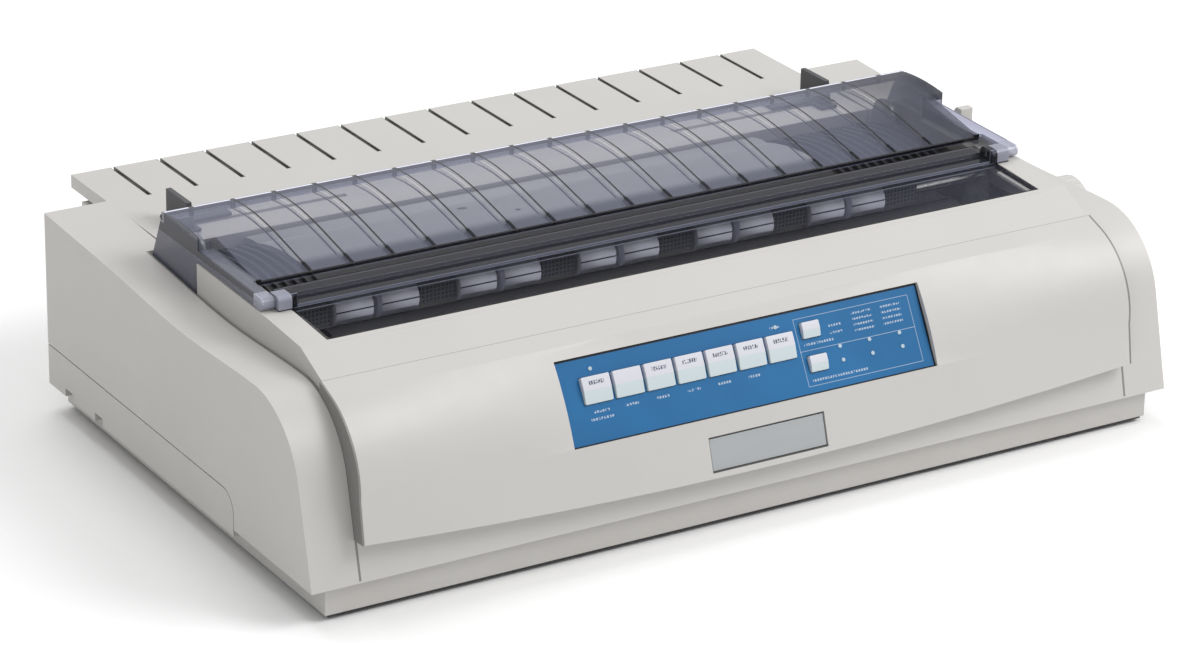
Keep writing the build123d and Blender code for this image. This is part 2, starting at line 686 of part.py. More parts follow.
def access_cover():
    lip_y = cover_seam_y + cover_seam_gap
    top_edge = [(lip_y, cover_seam_z), (window_front_y, window_front_z)]
    front = plate(
        top_edge + [(window_front_y, window_front_z - skin), (lip_y + skin, cover_seam_z - skin),
                    (lip_y + skin, cover_skirt_z), (lip_y, cover_skirt_z)],
        -cover_outer, cover_outer,
    )
    rail_line = [(window_front_y - 1, rail_top(window_front_y) - 0.4), (rail_mid_y, rail_mid_z),
                 (rail_rear_y, rail_rear_z)]
    under_line = [(y, z - skin) for y, z in reversed(rail_line)]
    rail = plate(rail_line + under_line, window_half, cover_outer)
    wall = plate(
        [(lip_y, cover_seam_z - 0.5)] + rail_line + [(rail_rear_y, cover_skirt_z), (lip_y, cover_skirt_z)],
        cover_outer - skin, cover_outer,
    )
    wall &= plate(top_edge + [(rail_rear_y + 5, rail_rear_z + 5), (rail_rear_y + 5, 90), (lip_y, 90)],
                  0, cover_outer)
    web = plate([(window_front_y - 1, web_bottom_z)] + rail_line + [(rail_rear_y, web_bottom_z)],
                window_half + 2, window_half + 2 + skin)
    front_web = block(-window_half, window_half, window_front_y - skin, window_front_y,
                      web_bottom_z, window_front_z - 1)
    ledge_z = window_front_z - skin
    side_ledge = plate(
        [(window_front_y - 1, ledge_z - 0.2), (rail_mid_y, rail_mid_z - skin - 0.2),
         (rail_mid_y, rail_mid_z - skin - 0.2 - ledge_thickness),
         (window_front_y - 1, ledge_z - 0.2 - ledge_thickness)],
        window_half - ledge_width, window_half + 3,
    )
    front_ledge = block(-window_half, window_half, window_front_y - 2, window_front_y + ledge_width,
                        ledge_z - 0.2 - ledge_thickness, ledge_z - 0.2)
    arm = plate(
        [(rail_rear_y - 8, rail_rear_z - 1), (rail_rear_y + 2, rail_rear_z - 1),
         (cover_pivot_y, cover_pivot_z + cover_boss_radius),
         (cover_pivot_y, cover_pivot_z - cover_boss_radius),
         (rail_rear_y - 8, cover_skirt_z + 5)],
        cover_arm_inner, cover_arm_outer,
    )
    arm += bar(cover_arm_inner, cover_arm_outer, cover_pivot_y, cover_pivot_z, cover_boss_radius)
    arm += block(cover_arm_inner, cover_outer - 1, rail_rear_y - skin, rail_rear_y, cover_skirt_z + 5,
                 rail_rear_z - 1)
    arm -= bar(cover_arm_inner - 1, cover_arm_outer + 1, cover_pivot_y, cover_pivot_z,
               cover_pin_radius + running)
    sides = rail + wall + web + side_ledge + arm
    return front + front_web + front_ledge + both_sides(sides)


def front_window():
    """The smoked sheet in the access cover, with its stepped crossbar and the hood's bearings."""
    half = window_half - window_gap
    near_y = window_front_y + window_gap
    near_z, far_z = window_front_z, rail_top(window_rear_y)
    sheet = plate([(near_y, near_z), (window_rear_y, far_z), (window_rear_y, far_z - skin),
                   (near_y, near_z - skin)], -half, half)
    bar_low = crossbar_top_z - crossbar_height
    step_y = (window_rear_y + crossbar_rear_y) / 2
    crossbar = plate(
        [(window_rear_y, far_z - skin), (window_rear_y, crossbar_top_z - crossbar_step),
         (step_y, crossbar_top_z - crossbar_step), (step_y, crossbar_top_z),
         (crossbar_rear_y, crossbar_top_z), (crossbar_rear_y, bar_low), (window_rear_y + 3, bar_low)],
        -half, half,
    )
    bearing_top = hood_pivot_z + hood_eye_radius + 0.7
    bearing_low = rail_top(hood_pivot_y + hood_bearing_half) + 0.05
    bearing_outer = cover_arm_outer - hood_bearing_inset
    bearing = block(half - 4, bearing_outer, hood_pivot_y - hood_bearing_half,
                    hood_pivot_y + hood_bearing_half, bearing_low, bearing_top)
    bearing = fillet(bearing.edges().filter_by(Axis.X).group_by(Axis.Z)[-1], 3)
    bearing -= bar(half - 2, bearing_outer + 1, hood_pivot_y, hood_pivot_z, hood_pin_radius + running)
    return sheet + crossbar + both_sides(bearing)


def hood_line(drop):
    """The hood's roof line from back to front, moved down by drop."""
    return Spline(
        (0, hood_rear_y, hood_rear_z - drop),
        (0, hood_neck_y + 5, hood_rear_z + 0.5 - drop),
        (0, (hood_neck_y + hood_front_y) / 2 + 3, hood_front_z + 5.6 - drop),
        (0, hood_front_y, hood_front_z - drop),
    )


def hood_sheet(top, bottom, x0, x1):
    """A strip of the hood between two depths under its roof line."""
    upper, lower = hood_line(top), hood_line(bottom)
    ends = Line(upper @ 0, lower @ 0) + Line(upper @ 1, lower @ 1)
    return slab(upper + lower + ends, x0, x1)


def hood_under(x0, x1, bottom_z):
    """Everything from the roof line down to a height."""
    upper = hood_line(0)
    rear, front = upper @ 0, upper @ 1
    return slab(upper + Polyline(rear, (0, rear.Y, bottom_z), (0, front.Y, bottom_z), front), x0, x1)


def hood():
    roof = hood_sheet(0, skin, -hood_outer, hood_outer)
    roof -= both_sides(block(hood_neck_half, hood_outer + 1, hood_front_y - 5, hood_neck_y, 120, 160))
    side = plate(
        [(hood_rear_y - 0.5, hood_rear_z - 1), (hood_foot_rear_y, hood_foot_rear_z),
         (hood_foot_front_y, hood_foot_front_z), (hood_neck_y, hood_arm_bottom_z),
         (hood_neck_y, hood_rear_z - 1)],
        hood_inner, hood_outer,
    )
    neck_wall = hood_under(hood_neck_half - skin, hood_neck_half, hood_arm_bottom_z)
    neck_wall &= block(hood_neck_half - skin, hood_neck_half, hood_front_y, hood_neck_y + skin, 100, 200)
    step_wall = hood_under(hood_neck_half - skin, hood_outer, hood_arm_top_z - skin)
    step_wall &= block(hood_neck_half - skin, hood_outer, hood_neck_y, hood_neck_y + skin, 100, 200)
    eye_top = hood_pivot_z + hood_eye_radius
    eye_low = hood_pivot_z - hood_eye_radius
    arm_sheet = plate(
        [(hood_neck_y + skin, hood_arm_top_z), (hood_pivot_y, eye_top), (hood_pivot_y, eye_top - 1.8),
         (hood_neck_y + skin, hood_arm_top_z - 1.8)],
        hood_neck_half - skin, hood_outer,
    )
    eye_inner = cover_arm_outer - hood_eye_inset
    arm_sheet -= block(0, eye_inner, hood_pivot_y - 5, hood_front_y, 120, 160)
    arm_web = plate(
        [(hood_neck_y + skin, hood_arm_top_z), (hood_pivot_y, eye_top), (hood_pivot_y, eye_low),
         (hood_neck_y + skin, hood_arm_bottom_z)],
        hood_outer - skin, hood_outer,
    )
    eye = bar(eye_inner, hood_outer, hood_pivot_y, hood_pivot_z, hood_eye_radius)
    pin = bar(window_half + 1, hood_outer - 1, hood_pivot_y, hood_pivot_z, hood_pin_radius)
    lip = block(-hood_inner - 1, hood_inner + 1, hood_rear_y - 2, hood_rear_y,
                hood_rear_z - hood_lip_depth, hood_rear_z - 1)
    body = roof + lip + both_sides(side + neck_wall + step_wall + arm_sheet + arm_web + eye + pin)
    for k in range(-hood_rib_side_count, hood_rib_side_count + 1):
        x = k * hood_rib_pitch
        half = hood_rib_width / 2
        rib = hood_sheet(skin - 0.5, skin + hood_rib_depth, x - half, x + half)
        body += rib & block(x - half, x + half, hood_front_y + hood_slit_length + 4, hood_rear_y, 100, 200)
        body -= block(x - hood_slit_width / 2, x + hood_slit_width / 2, hood_front_y + 2,
                      hood_front_y + 2 + hood_slit_length, 120, 160)
    return body


def paper_separator():
    half, inner = separator_half, separator_half - skin
    body = block(-half, half, separator_front_y, separator_rear_y, separator_under_z, separator_top_z)
    body -= block(-inner, inner, separator_front_y + skin, separator_rear_y - skin,
                  separator_under_z - 1, separator_top_z - skin)
    slot_start = separator_rear_y - separator_slot_length
    for i in range(separator_slots):
        x = (i - (separator_slots - 1) / 2) * separator_slot_pitch
        body -= block(x - separator_slot_width / 2, x + separator_slot_width / 2, slot_start,
                      separator_rear_y + 1, separator_top_z - skin - 1, separator_top_z + 1)
    half_track = guide_track_width / 2
    track = block(guide_x - guide_travel - guide_track_inner, guide_x + guide_track_outer,
                  guide_track_y - half_track, guide_track_y + half_track,
                  separator_top_z - skin - 1, separator_top_z + 1)
    body -= both_sides(track)
    pin = bar(half - 1, rear_well_half + flange_wall, separator_pivot_y, separator_pivot_z,
              separator_pin_radius)
    return body + both_sides(pin)


def paper_guide(side):
    """A fin on a foot, held in the separator's track by a tongue. Side is -1 for left, 1 for right."""
    x0, x1 = side * guide_x - guide_thickness / 2, side * guide_x + guide_thickness / 2
    low = separator_top_z + guide_lift
    top = low + guide_height
    fin = plate([(guide_front_y, low), (guide_front_y + 4, top), (guide_rear_y, top), (guide_rear_y, low)],
                x0, x1)
    inward = -side * guide_foot_length
    foot = block(min(x0, x0 + inward), max(x1, x1 + inward), guide_rear_y - guide_foot_width, guide_rear_y,
                 low, low + guide_foot_thickness)
    pad = block(x0 - 4, x1 + 4, guide_front_y, guide_rear_y, low, low + guide_foot_thickness)
    half = guide_track_width / 2 - 0.2
    under = separator_top_z - skin
    tongue = block(x0 - 4, x1 + 4, guide_track_y - half, guide_track_y + half, under - 1.5, low + 0.5)
    keeper = block(x0 - 4, x1 + 4, guide_track_y - half - 3, guide_track_y + half + 3,
                   under - 2.3, under - guide_lift)
    return fin + foot + pad + tongue + keeper


# --- frames ----------------------------------------------------------------------------------------
def chassis_plate():
    body = block(-frame_half, frame_half, chassis_front_y, chassis_rear_y, chassis_z, chassis_top_z)
    for x in (board_left + standoff_inset, board_right - standoff_inset):
        for y in (board_front_y + standoff_inset, board_rear_y - standoff_inset):
            body += post(x, y, chassis_top_z - 0.5, board_z, standoff_radius)
    return body


def side_frame():
    """The right side frame: a steel plate with a foot flange and holes for the rods."""
    top_z = platen_z + 10
    points = [
        (chassis_front_y + 2, chassis_top_z), (chassis_rear_y - 2, chassis_top_z),
        (chassis_rear_y - 2, tractor_z + 16), (cover_pivot_y + 14, tractor_z + 16),
        (cover_pivot_y + hinge_plate_radius, cover_pivot_z),
        (cover_pivot_y - hinge_plate_radius, cover_pivot_z),
        (cover_pivot_y - 14, top_z - 8), (roller_y + 16, top_z - 8), (roller_y + 8, roller_z),
        (roller_y - 7, roller_z), (roller_y - 12, top_z), (platen_y - 12, top_z),
        (platen_y - 22, platen_z - 24), (chassis_front_y + 2, rod_z + 16),
    ]
    body = plate(points, frame_inner, frame_half)
    body += bar(frame_inner, frame_half, cover_pivot_y, cover_pivot_z, hinge_plate_radius)
    body += bar(frame_inner, frame_half, roller_y + 0.5, roller_z, 7.3)
    body += block(frame_inner - frame_flange, frame_inner, chassis_front_y + 8, chassis_rear_y - 8,
                  chassis_top_z, chassis_top_z + frame_gauge)
    holes = [
        (platen_y, platen_z, platen_shaft_radius + running),
        (roller_y, roller_z, roller_shaft_radius + running),
        (rod_y, rod_z, rod_radius), (tractor_y, tractor_z, square_shaft / 2 + running),
        (guide_rod_y, guide_rod_z, guide_rod_radius),
    ]
    for y, z, radius in holes:
        body -= bar(frame_inner - 1, frame_half + 1, y, z, radius)
    body += bar(frame_inner, cover_arm_outer + 0.8, cover_pivot_y, cover_pivot_z, cover_pin_radius)
    return body


def left_side_frame():
    """The left frame also carries the studs of the idler gears and the feed motor's shaft hole."""
    body = other_side(side_frame())
    for y in (idler_front_y, idler_rear_y):
        body += bar(gear_left - 1, -frame_inner, y, idler_z, stud_radius)
        body += bar(gear_right + 0.3, -frame_inner, y, idler_z, stud_radius + 3)
    body -= bar(-frame_half - 1, -frame_inner + 1, feed_motor_y, feed_motor_z, motor_shaft_radius + 2)
    return body


def right_side_frame():
    """The right frame also carries the paper lever's shaft."""
    body = side_frame()
    return body - bar(frame_inner - 1, frame_half + 1, lever_y, lever_pivot_z, lever_shaft_radius + running)


# --- gears -----------------------------------------------------------------------------------------
def gear_outline(teeth, tooth_angle):
    """Corner points of a spur gear: involute flanks with a short tooth, one tooth at tooth_angle."""
    pitch = module * teeth / 2
    slant = math.radians(pressure_angle)
    base = pitch * math.cos(slant)
    tip, root = pitch + addendum * module, pitch - dedendum * module
    roll = math.tan(slant) - slant
    half_tooth = math.pi / (2 * teeth) - backlash / (4 * pitch) + roll
    start = max(base, root)
    flank = []
    for i in range(5):
        radius = start + (tip - start) * i / 4
        pressure = math.acos(min(base / radius, 1.0))
        flank.append((radius, half_tooth - (math.tan(pressure) - pressure)))
    if root < base:
        flank.insert(0, (root, flank[0][1]))
    points = []
    for k in range(teeth):
        centre = math.radians(tooth_angle) + 2 * math.pi * k / teeth
        points += [(r * math.cos(centre - a), r * math.sin(centre - a)) for r, a in flank]
        points += [(r * math.cos(centre + a), r * math.sin(centre + a)) for r, a in reversed(flank)]
    return points


def meshing_angle(driver_teeth, driver_angle, teeth, direction):
    """Tooth angle of a gear that meshes with its driver, which lies behind it along direction."""
    turn = (direction - driver_angle) * driver_teeth / 360.0
    return direction + 180.0 - (360.0 / teeth) * (0.5 - turn)


def side_gear(teeth, tooth_angle, y, z, bore_radius):
    """A gear of the train outside the left frame."""
    outline = [(py + y, pz + z) for py, pz in gear_outline(teeth, tooth_angle)]
    return plate(outline, gear_left, gear_right) - bar(gear_left - 1, gear_right + 1, y, z, bore_radius)


direction_front = math.degrees(math.atan2(idler_z - platen_z, idler_front_y - platen_y))
angle_front = meshing_angle(platen_teeth, 0, idler_teeth, direction_front)
angle_rear = meshing_angle(idler_teeth, angle_front, idler_teeth, 0)
angle_tractor = meshing_angle(idler_teeth, angle_rear, tractor_teeth, 0)
angle_pinion = meshing_angle(idler_teeth, angle_front, pinion_teeth, motor_angle)


def light_gear(teeth, tooth_angle, y, z, bore_radius):
    """A larger gear with round holes through its web."""
    body = side_gear(teeth, tooth_angle, y, z, bore_radius)
    web_radius = module * teeth / 2 * 0.58
    hole = module * teeth / 2 * 0.19
    for i in range(6):
        turn = math.radians(60 * i)
        body -= bar(gear_left - 1, gear_right + 1, y + web_radius * math.cos(turn),
                    z + web_radius * math.sin(turn), hole)
    return body


def feed_motor():
    body = bar(-frame_inner, -frame_inner + feed_motor_length, feed_motor_y, feed_motor_z, feed_motor_radius)
    return body - bar(-frame_inner - 1, -frame_inner + 6, feed_motor_y, feed_motor_z, motor_shaft_radius + 1)


def feed_motor_pinion():
    gear = side_gear(pinion_teeth, angle_pinion, feed_motor_y, feed_motor_z, 1)
    return gear + bar(gear_left, -frame_inner + 5, feed_motor_y, feed_motor_z, motor_shaft_radius)


# --- platen and paper path -------------------------------------------------------------------------
def platen():
    body = bar(-platen_half, platen_half, platen_y, platen_z, platen_radius)
    return body - bar(-platen_half - 1, platen_half + 1, platen_y, platen_z, platen_shaft_radius)


def platen_shaft():
    return bar(gear_left - 1, knob_right - knob_cap, platen_y, platen_z, platen_shaft_radius)


def platen_knob():
    body = bar(knob_left, knob_right, platen_y, platen_z, knob_radius)
    body = chamfer(body.edges().group_by(Axis.X)[-1], 1.5)
    for i in range(knob_flutes):
        turn = 2 * math.pi * i / knob_flutes
        reach = knob_radius + knob_flute_reach
        y, z = platen_y + reach * math.cos(turn), platen_z + reach * math.sin(turn)
        body -= bar(knob_left + 2, knob_right + 1, y, z, knob_flute_radius)
    return body - bar(knob_left - 1, knob_right - knob_cap, platen_y, platen_z, platen_shaft_radius)


def roller_centres():
    """X of every pressure roller."""
    return [
        roller_first_x + roller_pitch * i + side * roller_spread
        for i in range(roller_pairs)
        for side in (-1, 1)
    ]


def pressure_rollers():
    half = roller_width / 2
    rollers = []
    for x in roller_centres():
        roller = bar(x - half, x + half, roller_y, roller_z, roller_radius)
        rollers.append(roller - bar(x - half - 1, x + half + 1, roller_y, roller_z, roller_shaft_radius))
    return rollers[0] + rollers[1:]


def roller_shaft():
    reach = frame_half + rod_end - 0.4
    return bar(-reach, reach, roller_y, roller_z, roller_shaft_radius)


def roller_brackets():
    """A bar behind the rollers with bearing fingers between the pairs."""
    low, high = roller_z - bracket_bottom, roller_z + bracket_top
    body = block(-frame_inner, frame_inner, bar_front_y, bar_front_y + bar_thickness, low - 1, high - 1)
    for i in range(roller_pairs + 1):
        x = roller_first_x + roller_pitch * (i - 0.5)
        half = bracket_width / 2
        left = max(x - half, -frame_inner + 1)
        body += block(left, x + half, roller_y - 6.5, bar_front_y + 1, low, high)
    return body - bar(-frame_inner - 1, frame_inner + 1, roller_y, roller_z, roller_shaft_radius + running)


def paper_pan():
    """A trough under the platen with a tail towards the tractors."""
    inner = platen_radius + pan_gap
    outer = inner + pan_gauge
    lip, heel = math.radians(205), math.radians(300)
    mid = (lip + heel) / 2

    def at(radius, turn):
        return (0, platen_y + radius * math.cos(turn), platen_z + radius * math.sin(turn))

    inside = ThreePointArc(at(inner, lip), at(inner, mid), at(inner, heel))
    outside = ThreePointArc(at(outer, lip), at(outer, mid), at(outer, heel))
    tail_top = (0, pan_rear_y, pan_rear_z + pan_gauge)
    tail_low = (0, pan_rear_y, pan_rear_z)
    rim = Line(at(inner, lip), at(outer, lip))
    tail = Polyline(at(inner, heel), tail_top, tail_low, at(outer, heel))
    return slab(inside + outside + rim + tail, -frame_inner, frame_inner)


def chute_line(lift):
    """The curved back of the paper path, lifted by a height."""
    middle_y = (chute_front_y + chute_rear_y) / 2
    return ThreePointArc(
        (0, chute_front_y, chute_front_z + lift),
        (0, middle_y, chute_crest_z + lift),
        (0, chute_rear_y, chute_rear_z + lift),
    )


def chute_sheet_body(low, high, x0, x1):
    """A curved sheet between two lifts of that line."""
    lower, upper = chute_line(low), chute_line(high)
    ends = Line(lower @ 0, upper @ 0) + Line(lower @ 1, upper @ 1)
    return slab(lower + upper + ends, x0, x1)


def rear_paper_guide():
    """The dark carrier between the frames, ribbed beyond the chute's ends."""
    body = chute_sheet_body(0, chute_sheet, -frame_inner, frame_inner)
    rib_places = []
    x = chute_right + chute_rib_pitch
    while x < frame_inner - 2:
        rib_places.append(x)
        x += chute_rib_pitch
    x = chute_left - chute_rib_pitch
    while x > -frame_inner + 2:
        rib_places.append(x)
        x -= chute_rib_pitch
    half = chute_rib_width / 2
    for x in rib_places:
        body += chute_sheet_body(chute_sheet - 0.4, chute_sheet + chute_rib_height, x - half, x + half)
    return body


def paper_chute():
    return chute_sheet_body(chute_sheet, 2 * chute_sheet, chute_left, chute_right)


# --- carriage --------------------------------------------------------------------------------------
def carriage_shaft():
    reach = frame_half + rod_end
    return bar(-reach, reach, rod_y, rod_z, rod_radius)


def carriage_rack():
    """A toothed rail along the front with its teeth facing the carriage."""
    pitch = math.pi * module
    tooth = addendum * module
    half_pitch_width = pitch / 4 - backlash / 4
    flank = math.tan(math.radians(pressure_angle))
    tip_half = half_pitch_width - tooth * flank
    root_half = half_pitch_width + dedendum * module * flank
    tip_y, root_y = rack_pitch_y + tooth, rack_pitch_y - dedendum * module
    points = []
    count = int((frame_inner + carriage_home_x) / pitch) - 1
    last = int((frame_inner - carriage_home_x) / pitch) - 1
    for k in range(-count, last + 1):
        x = carriage_home_x + k * pitch
        points += [(x - root_half, root_y), (x - tip_half, tip_y)]
        points += [(x + tip_half, tip_y), (x + root_half, root_y)]
    back_y = root_y - rack_back
    points += [(frame_inner, root_y), (frame_inner, back_y), (-frame_inner, back_y), (-frame_inner, root_y)]
    low_z = rack_top_z - rack_height
    face = make_face(Polyline(*[(x, y, low_z) for x, y in points], close=True))
    teeth = extrude(face, amount=rack_height, dir=(0, 0, 1))
    foot_half = frame_inner - frame_flange - 1
    return teeth + block(-foot_half, foot_half, back_y, back_y + 2, chassis_top_z, low_z + 1)


def carriage():
    x = carriage_home_x
    body = block(x - carriage_half, x + carriage_half, carriage_front_y, carriage_rear_y,
                 carriage_bottom_z, carriage_top_z)
    arm_low = rack_top_z + rack_gap
    front = pinion_y - space_motor_radius - 1
    body += block(x - space_motor_radius - 2, x + space_motor_radius + 2, front, carriage_front_y + 1,
                  arm_low, arm_low + carriage_arm)
    body += block(x - head_half_width, x + head_half_width, nose_tip_y - nose_length - head_depth,
                  nose_tip_y - nose_length, carriage_top_z - 1, head_bottom_z)
    body -= bar(x - carriage_half - 1, x + carriage_half + 1, rod_y, rod_z, rod_radius + running)
    body -= post(x, pinion_y, arm_low - 1, arm_low + carriage_arm + 1, motor_shaft_radius + running)
    return body


def carriage_motor():
    low = rack_top_z + rack_gap + carriage_arm
    body = post(carriage_home_x, pinion_y, low, low + space_motor_height, space_motor_radius)
    return body - post(carriage_home_x, pinion_y, low - 1, low + 3, motor_shaft_radius + 0.5)


def carriage_pinion():
    """The pinion stands so that a gap faces the rack tooth at the carriage's rest place."""
    low = rack_top_z - rack_height + 0.5
    high = rack_top_z - 0.3
    outline = gear_outline(pinion_teeth, -90 + 180.0 / pinion_teeth)
    points = [(carriage_home_x + px, pinion_y + py, low) for px, py in outline]
    gear = extrude(make_face(Polyline(*points, close=True)), amount=high - low, dir=(0, 0, 1))
    shaft_top = rack_top_z + rack_gap + carriage_arm + 2
    return gear + post(carriage_home_x, pinion_y, low, shaft_top, motor_shaft_radius)


def print_head():
    x = carriage_home_x
    back = nose_tip_y - nose_length
    body = block(x - nose_half_width, x + nose_half_width, back - 1, nose_tip_y,
                 platen_z - nose_half_height, platen_z + nose_half_height)
    body += block(x - head_half_width, x + head_half_width, back - head_depth, back,
                  head_bottom_z, head_top_z)
    pitch = head_depth / fin_count
    for i in range(fin_count):
        y = back - head_depth + pitch * (i + 0.5)
        slot = block(x + head_half_width - fin_depth, x + head_half_width + 1, y - pitch / 4, y + pitch / 4,
                     head_bottom_z + 4, head_top_z + 1)
        body -= slot
        body -= mirror(slot, about=Plane.YZ.offset(x))
    return body


def ribbon_cartridge():
    """A flat case around the head, with arms that hold the ribbon in front of the nose."""
    x = carriage_home_x
    z0, z1 = ribbon_bottom_z, ribbon_top_z
    room = head_half_width + 1
    head_front = nose_tip_y - nose_length - head_depth
    body = block(x - ribbon_half, x + ribbon_half, ribbon_front_y, ribbon_rear_y, z0, z1)
    body = chamfer(body.edges().filter_by(Axis.Z), 5)
    body -= block(x - room, x + room, head_front - 1, ribbon_rear_y + 1, z0 - 1, z1 + 1)
    ribbon_y = (nose_tip_y + platen_y - platen_radius) / 2
    for side in (-1, 1):
        arm_x = x + side * ribbon_arm_x
        body += block(arm_x - ribbon_arm_width / 2, arm_x + ribbon_arm_width / 2, ribbon_rear_y - 1,
                      ribbon_y + ribbon_thickness / 2, platen_z - ribbon_half_height,
                      platen_z + ribbon_half_height)
    body += block(x - ribbon_arm_x, x + ribbon_arm_x, ribbon_y - ribbon_thickness / 2,
                  ribbon_y + ribbon_thickness / 2, platen_z - ribbon_half_height,
                  platen_z + ribbon_half_height)
    body -= post(x + ribbon_knob_x, ribbon_knob_y, z1 - 4, z1 + 1, motor_shaft_radius + running)
    return body


def ribbon_knob():
    x, y = carriage_home_x + ribbon_knob_x, ribbon_knob_y
    low = ribbon_top_z + ribbon_knob_gap
    body = post(x, y, low, low + ribbon_knob_height, ribbon_knob_radius)
    for i in range(ribbon_knob_notches):
        turn = 2 * math.pi * i / ribbon_knob_notches
        reach = ribbon_knob_radius + 0.6
        body -= post(x + reach * math.cos(turn), y + reach * math.sin(turn), low - 1,
                     low + ribbon_knob_height + 1, ribbon_notch_radius)
    return body + post(x, y, ribbon_top_z - 3.5, low + 1, motor_shaft_radius)


# --- tractors --------------------------------------------------------------------------------------
def tractor_drive_shaft():
    """Square between the frames, round in them and under its gear."""
    half = square_shaft / 2
    square = block(-frame_inner + 1, frame_inner - 1, tractor_y - half, tractor_y + half,
                   tractor_z - half, tractor_z + half)
    return square + bar(gear_left - 1, frame_half + rod_end, tractor_y, tractor_z, half)


def tractor_guide_shaft():
    return bar(-frame_half, frame_half, guide_rod_y, guide_rod_z, guide_rod_radius)


def tractor_lid_axis():
    """Distance from the middle and height of a tractor lid's hinge."""
    x = tractor_x + tractor_width / 2 - lid_thickness / 2
    return x, tractor_top_z + lid_gap + lid_thickness / 2


def tractor():
    """The right tractor, which slides on both shafts."""
    half = tractor_width / 2
    rear = tractor_front_y + tractor_length
    body = block(tractor_x - half, tractor_x + half, tractor_front_y, rear, tractor_bottom_z, tractor_top_z)
    body -= bar(tractor_x - half - 1, tractor_x + half + 1, tractor_y, tractor_z,
                square_shaft / 2 * math.sqrt(2) + 0.4)
    body -= bar(tractor_x - half - 1, tractor_x + half + 1, guide_rod_y, guide_rod_z,
                guide_rod_radius + running)
    lid_x, lid_z = tractor_lid_axis()
    for y in (tractor_front_y + 1.5, rear - 1.5):
        lug = block(lid_x - 1.5, lid_x + 1.2, y - 1.2, y + 1.2, tractor_top_z - 1, lid_z + 1)
        body += lug
    pin = Rot(90, 0, 0) * Cylinder(lid_pin_radius, tractor_length - 4)
    return body + Pos(lid_x, (tractor_front_y + rear) / 2, lid_z) * pin


def tractor_lid():
    """The right tractor's lid, which swings up about its outer edge."""
    lid_x, lid_z = tractor_lid_axis()
    length = tractor_length - 2 * lid_end
    y0 = tractor_front_y + lid_end
    low = tractor_top_z + lid_gap
    body = block(tractor_x - tractor_width / 2, lid_x, y0, y0 + length, low, low + lid_thickness)
    barrel = Pos(lid_x, y0 + length / 2, lid_z) * Rot(90, 0, 0) * Cylinder(lid_thickness / 2, length)
    body += barrel
    slot = block(tractor_x - 4, tractor_x, y0 + 8, y0 + length - 8, low - 1, low + 5)
    body -= slot
    bore = Rot(90, 0, 0) * Cylinder(lid_pin_radius + running, length + 2)
    return body - Pos(lid_x, y0 + length / 2, lid_z) * bore


# --- lever and electrics ---------------------------------------------------------------------------
def paper_lever():
    """A lever through the right strip, on a short shaft in the right frame."""
    x0, x1 = lever_x - lever_width / 2, lever_x + lever_width / 2
    half = lever_thickness / 2
    body = plate([(lever_y - half, lever_pivot_z), (lever_y + half, lever_pivot_z),
                  (lever_y + half, lever_top_z - 2), (lever_y + half - 2, lever_top_z),
                  (lever_y - half, lever_top_z)], x0, x1)
    body += bar(x0, x1, lever_y, lever_pivot_z, lever_boss_radius)
    return body + bar(frame_inner - 2, x1, lever_y, lever_pivot_z, lever_shaft_radius)


def main_board():
    body = block(board_left, board_right, board_front_y, board_rear_y, board_z, board_z + board_thickness)
    top = board_z + board_thickness - 0.1
    for x, y, width, depth in chips:
        body += block(x, x + width, y, y + depth, top, top + chip_height)
    return body


def power_supply():
    """A transformer: windings between the limbs of a laminated core."""
    x0, x1 = supply_left, supply_right
    y0, y1 = supply_front_y, supply_rear_y
    low, high = chassis_top_z, supply_top_z
    over = winding_overhang
    core = block(x0 + over, x1 - over, y0, y1, low, high)
    winding = block(x0, x1, y0 + over, y1 - over, low + 8, high - 6)
    winding = fillet(winding.edges().filter_by(Axis.Y), 5)
    return core + winding


def socket(x, z, width, height):
    """A socket that fills its opening, with a flange behind the wall and a hollow to the rear."""
    wall_y = rear_y - shell_wall
    half_w, half_h = width / 2, height / 2
    body = block(x - half_w, x + half_w, rear_y - socket_body, rear_y + 1, z - half_h, z + half_h)
    body += block(x - half_w - 3, x + half_w + 3, wall_y - 2, wall_y, z - half_h - 2, z + half_h + 2)
    body -= block(x - half_w + socket_wall, x + half_w - socket_wall, rear_y + 1 - socket_depth, rear_y + 2,
                  z - half_h + socket_wall, z + half_h - socket_wall)
    return body


def power_inlet():
    """An appliance inlet with three blades."""
    body = socket(inlet_x, inlet_z, inlet_width, inlet_height)
    back = rear_y + 1 - socket_depth
    for dx, dz in blade_places:
        x, z = inlet_x + dx, inlet_z + dz
        body += block(x - 1, x + 1, back - 1, back + blade_length, z - 2, z + 2)
    return body


def parallel_port():
    """A wide shallow port with a tongue in its middle."""
    body = socket(port_x, port_z, port_width, port_height)
    back = rear_y + 1 - socket_depth
    half = port_width / 2 - tongue_inset
    tongue = block(port_x - half, port_x + half, back - 1, back + blade_length,
                   port_z - tongue_half, port_z + tongue_half)
    return body + tongue


def power_switch():
    """A rocker between the lugs behind the rear wall."""
    half_w, half_h = switch_width / 2, switch_height / 2
    pivot_y = rear_y - shell_wall - switch_pivot_depth
    face_y = rear_y + switch_bulge
    low, high = switch_z - half_h, switch_z + half_h
    points = [
        (pivot_y - 3, switch_z - 3), (pivot_y + 3, low + 1.4), (rear_y + 0.3, low + 1.2), (face_y, low + 2),
        (rear_y + 0.8, switch_z), (face_y - 1.6, high - 1.6), (rear_y - 0.6, high - 0.8),
        (pivot_y + 3, high - 1), (pivot_y - 3, switch_z + 3),
    ]
    body = plate(points, switch_x - half_w, switch_x + half_w)
    hole = bar(switch_x - half_w - 1, switch_x + half_w + 1, pivot_y, switch_z,
               switch_pin_radius + running)
    return body - hole


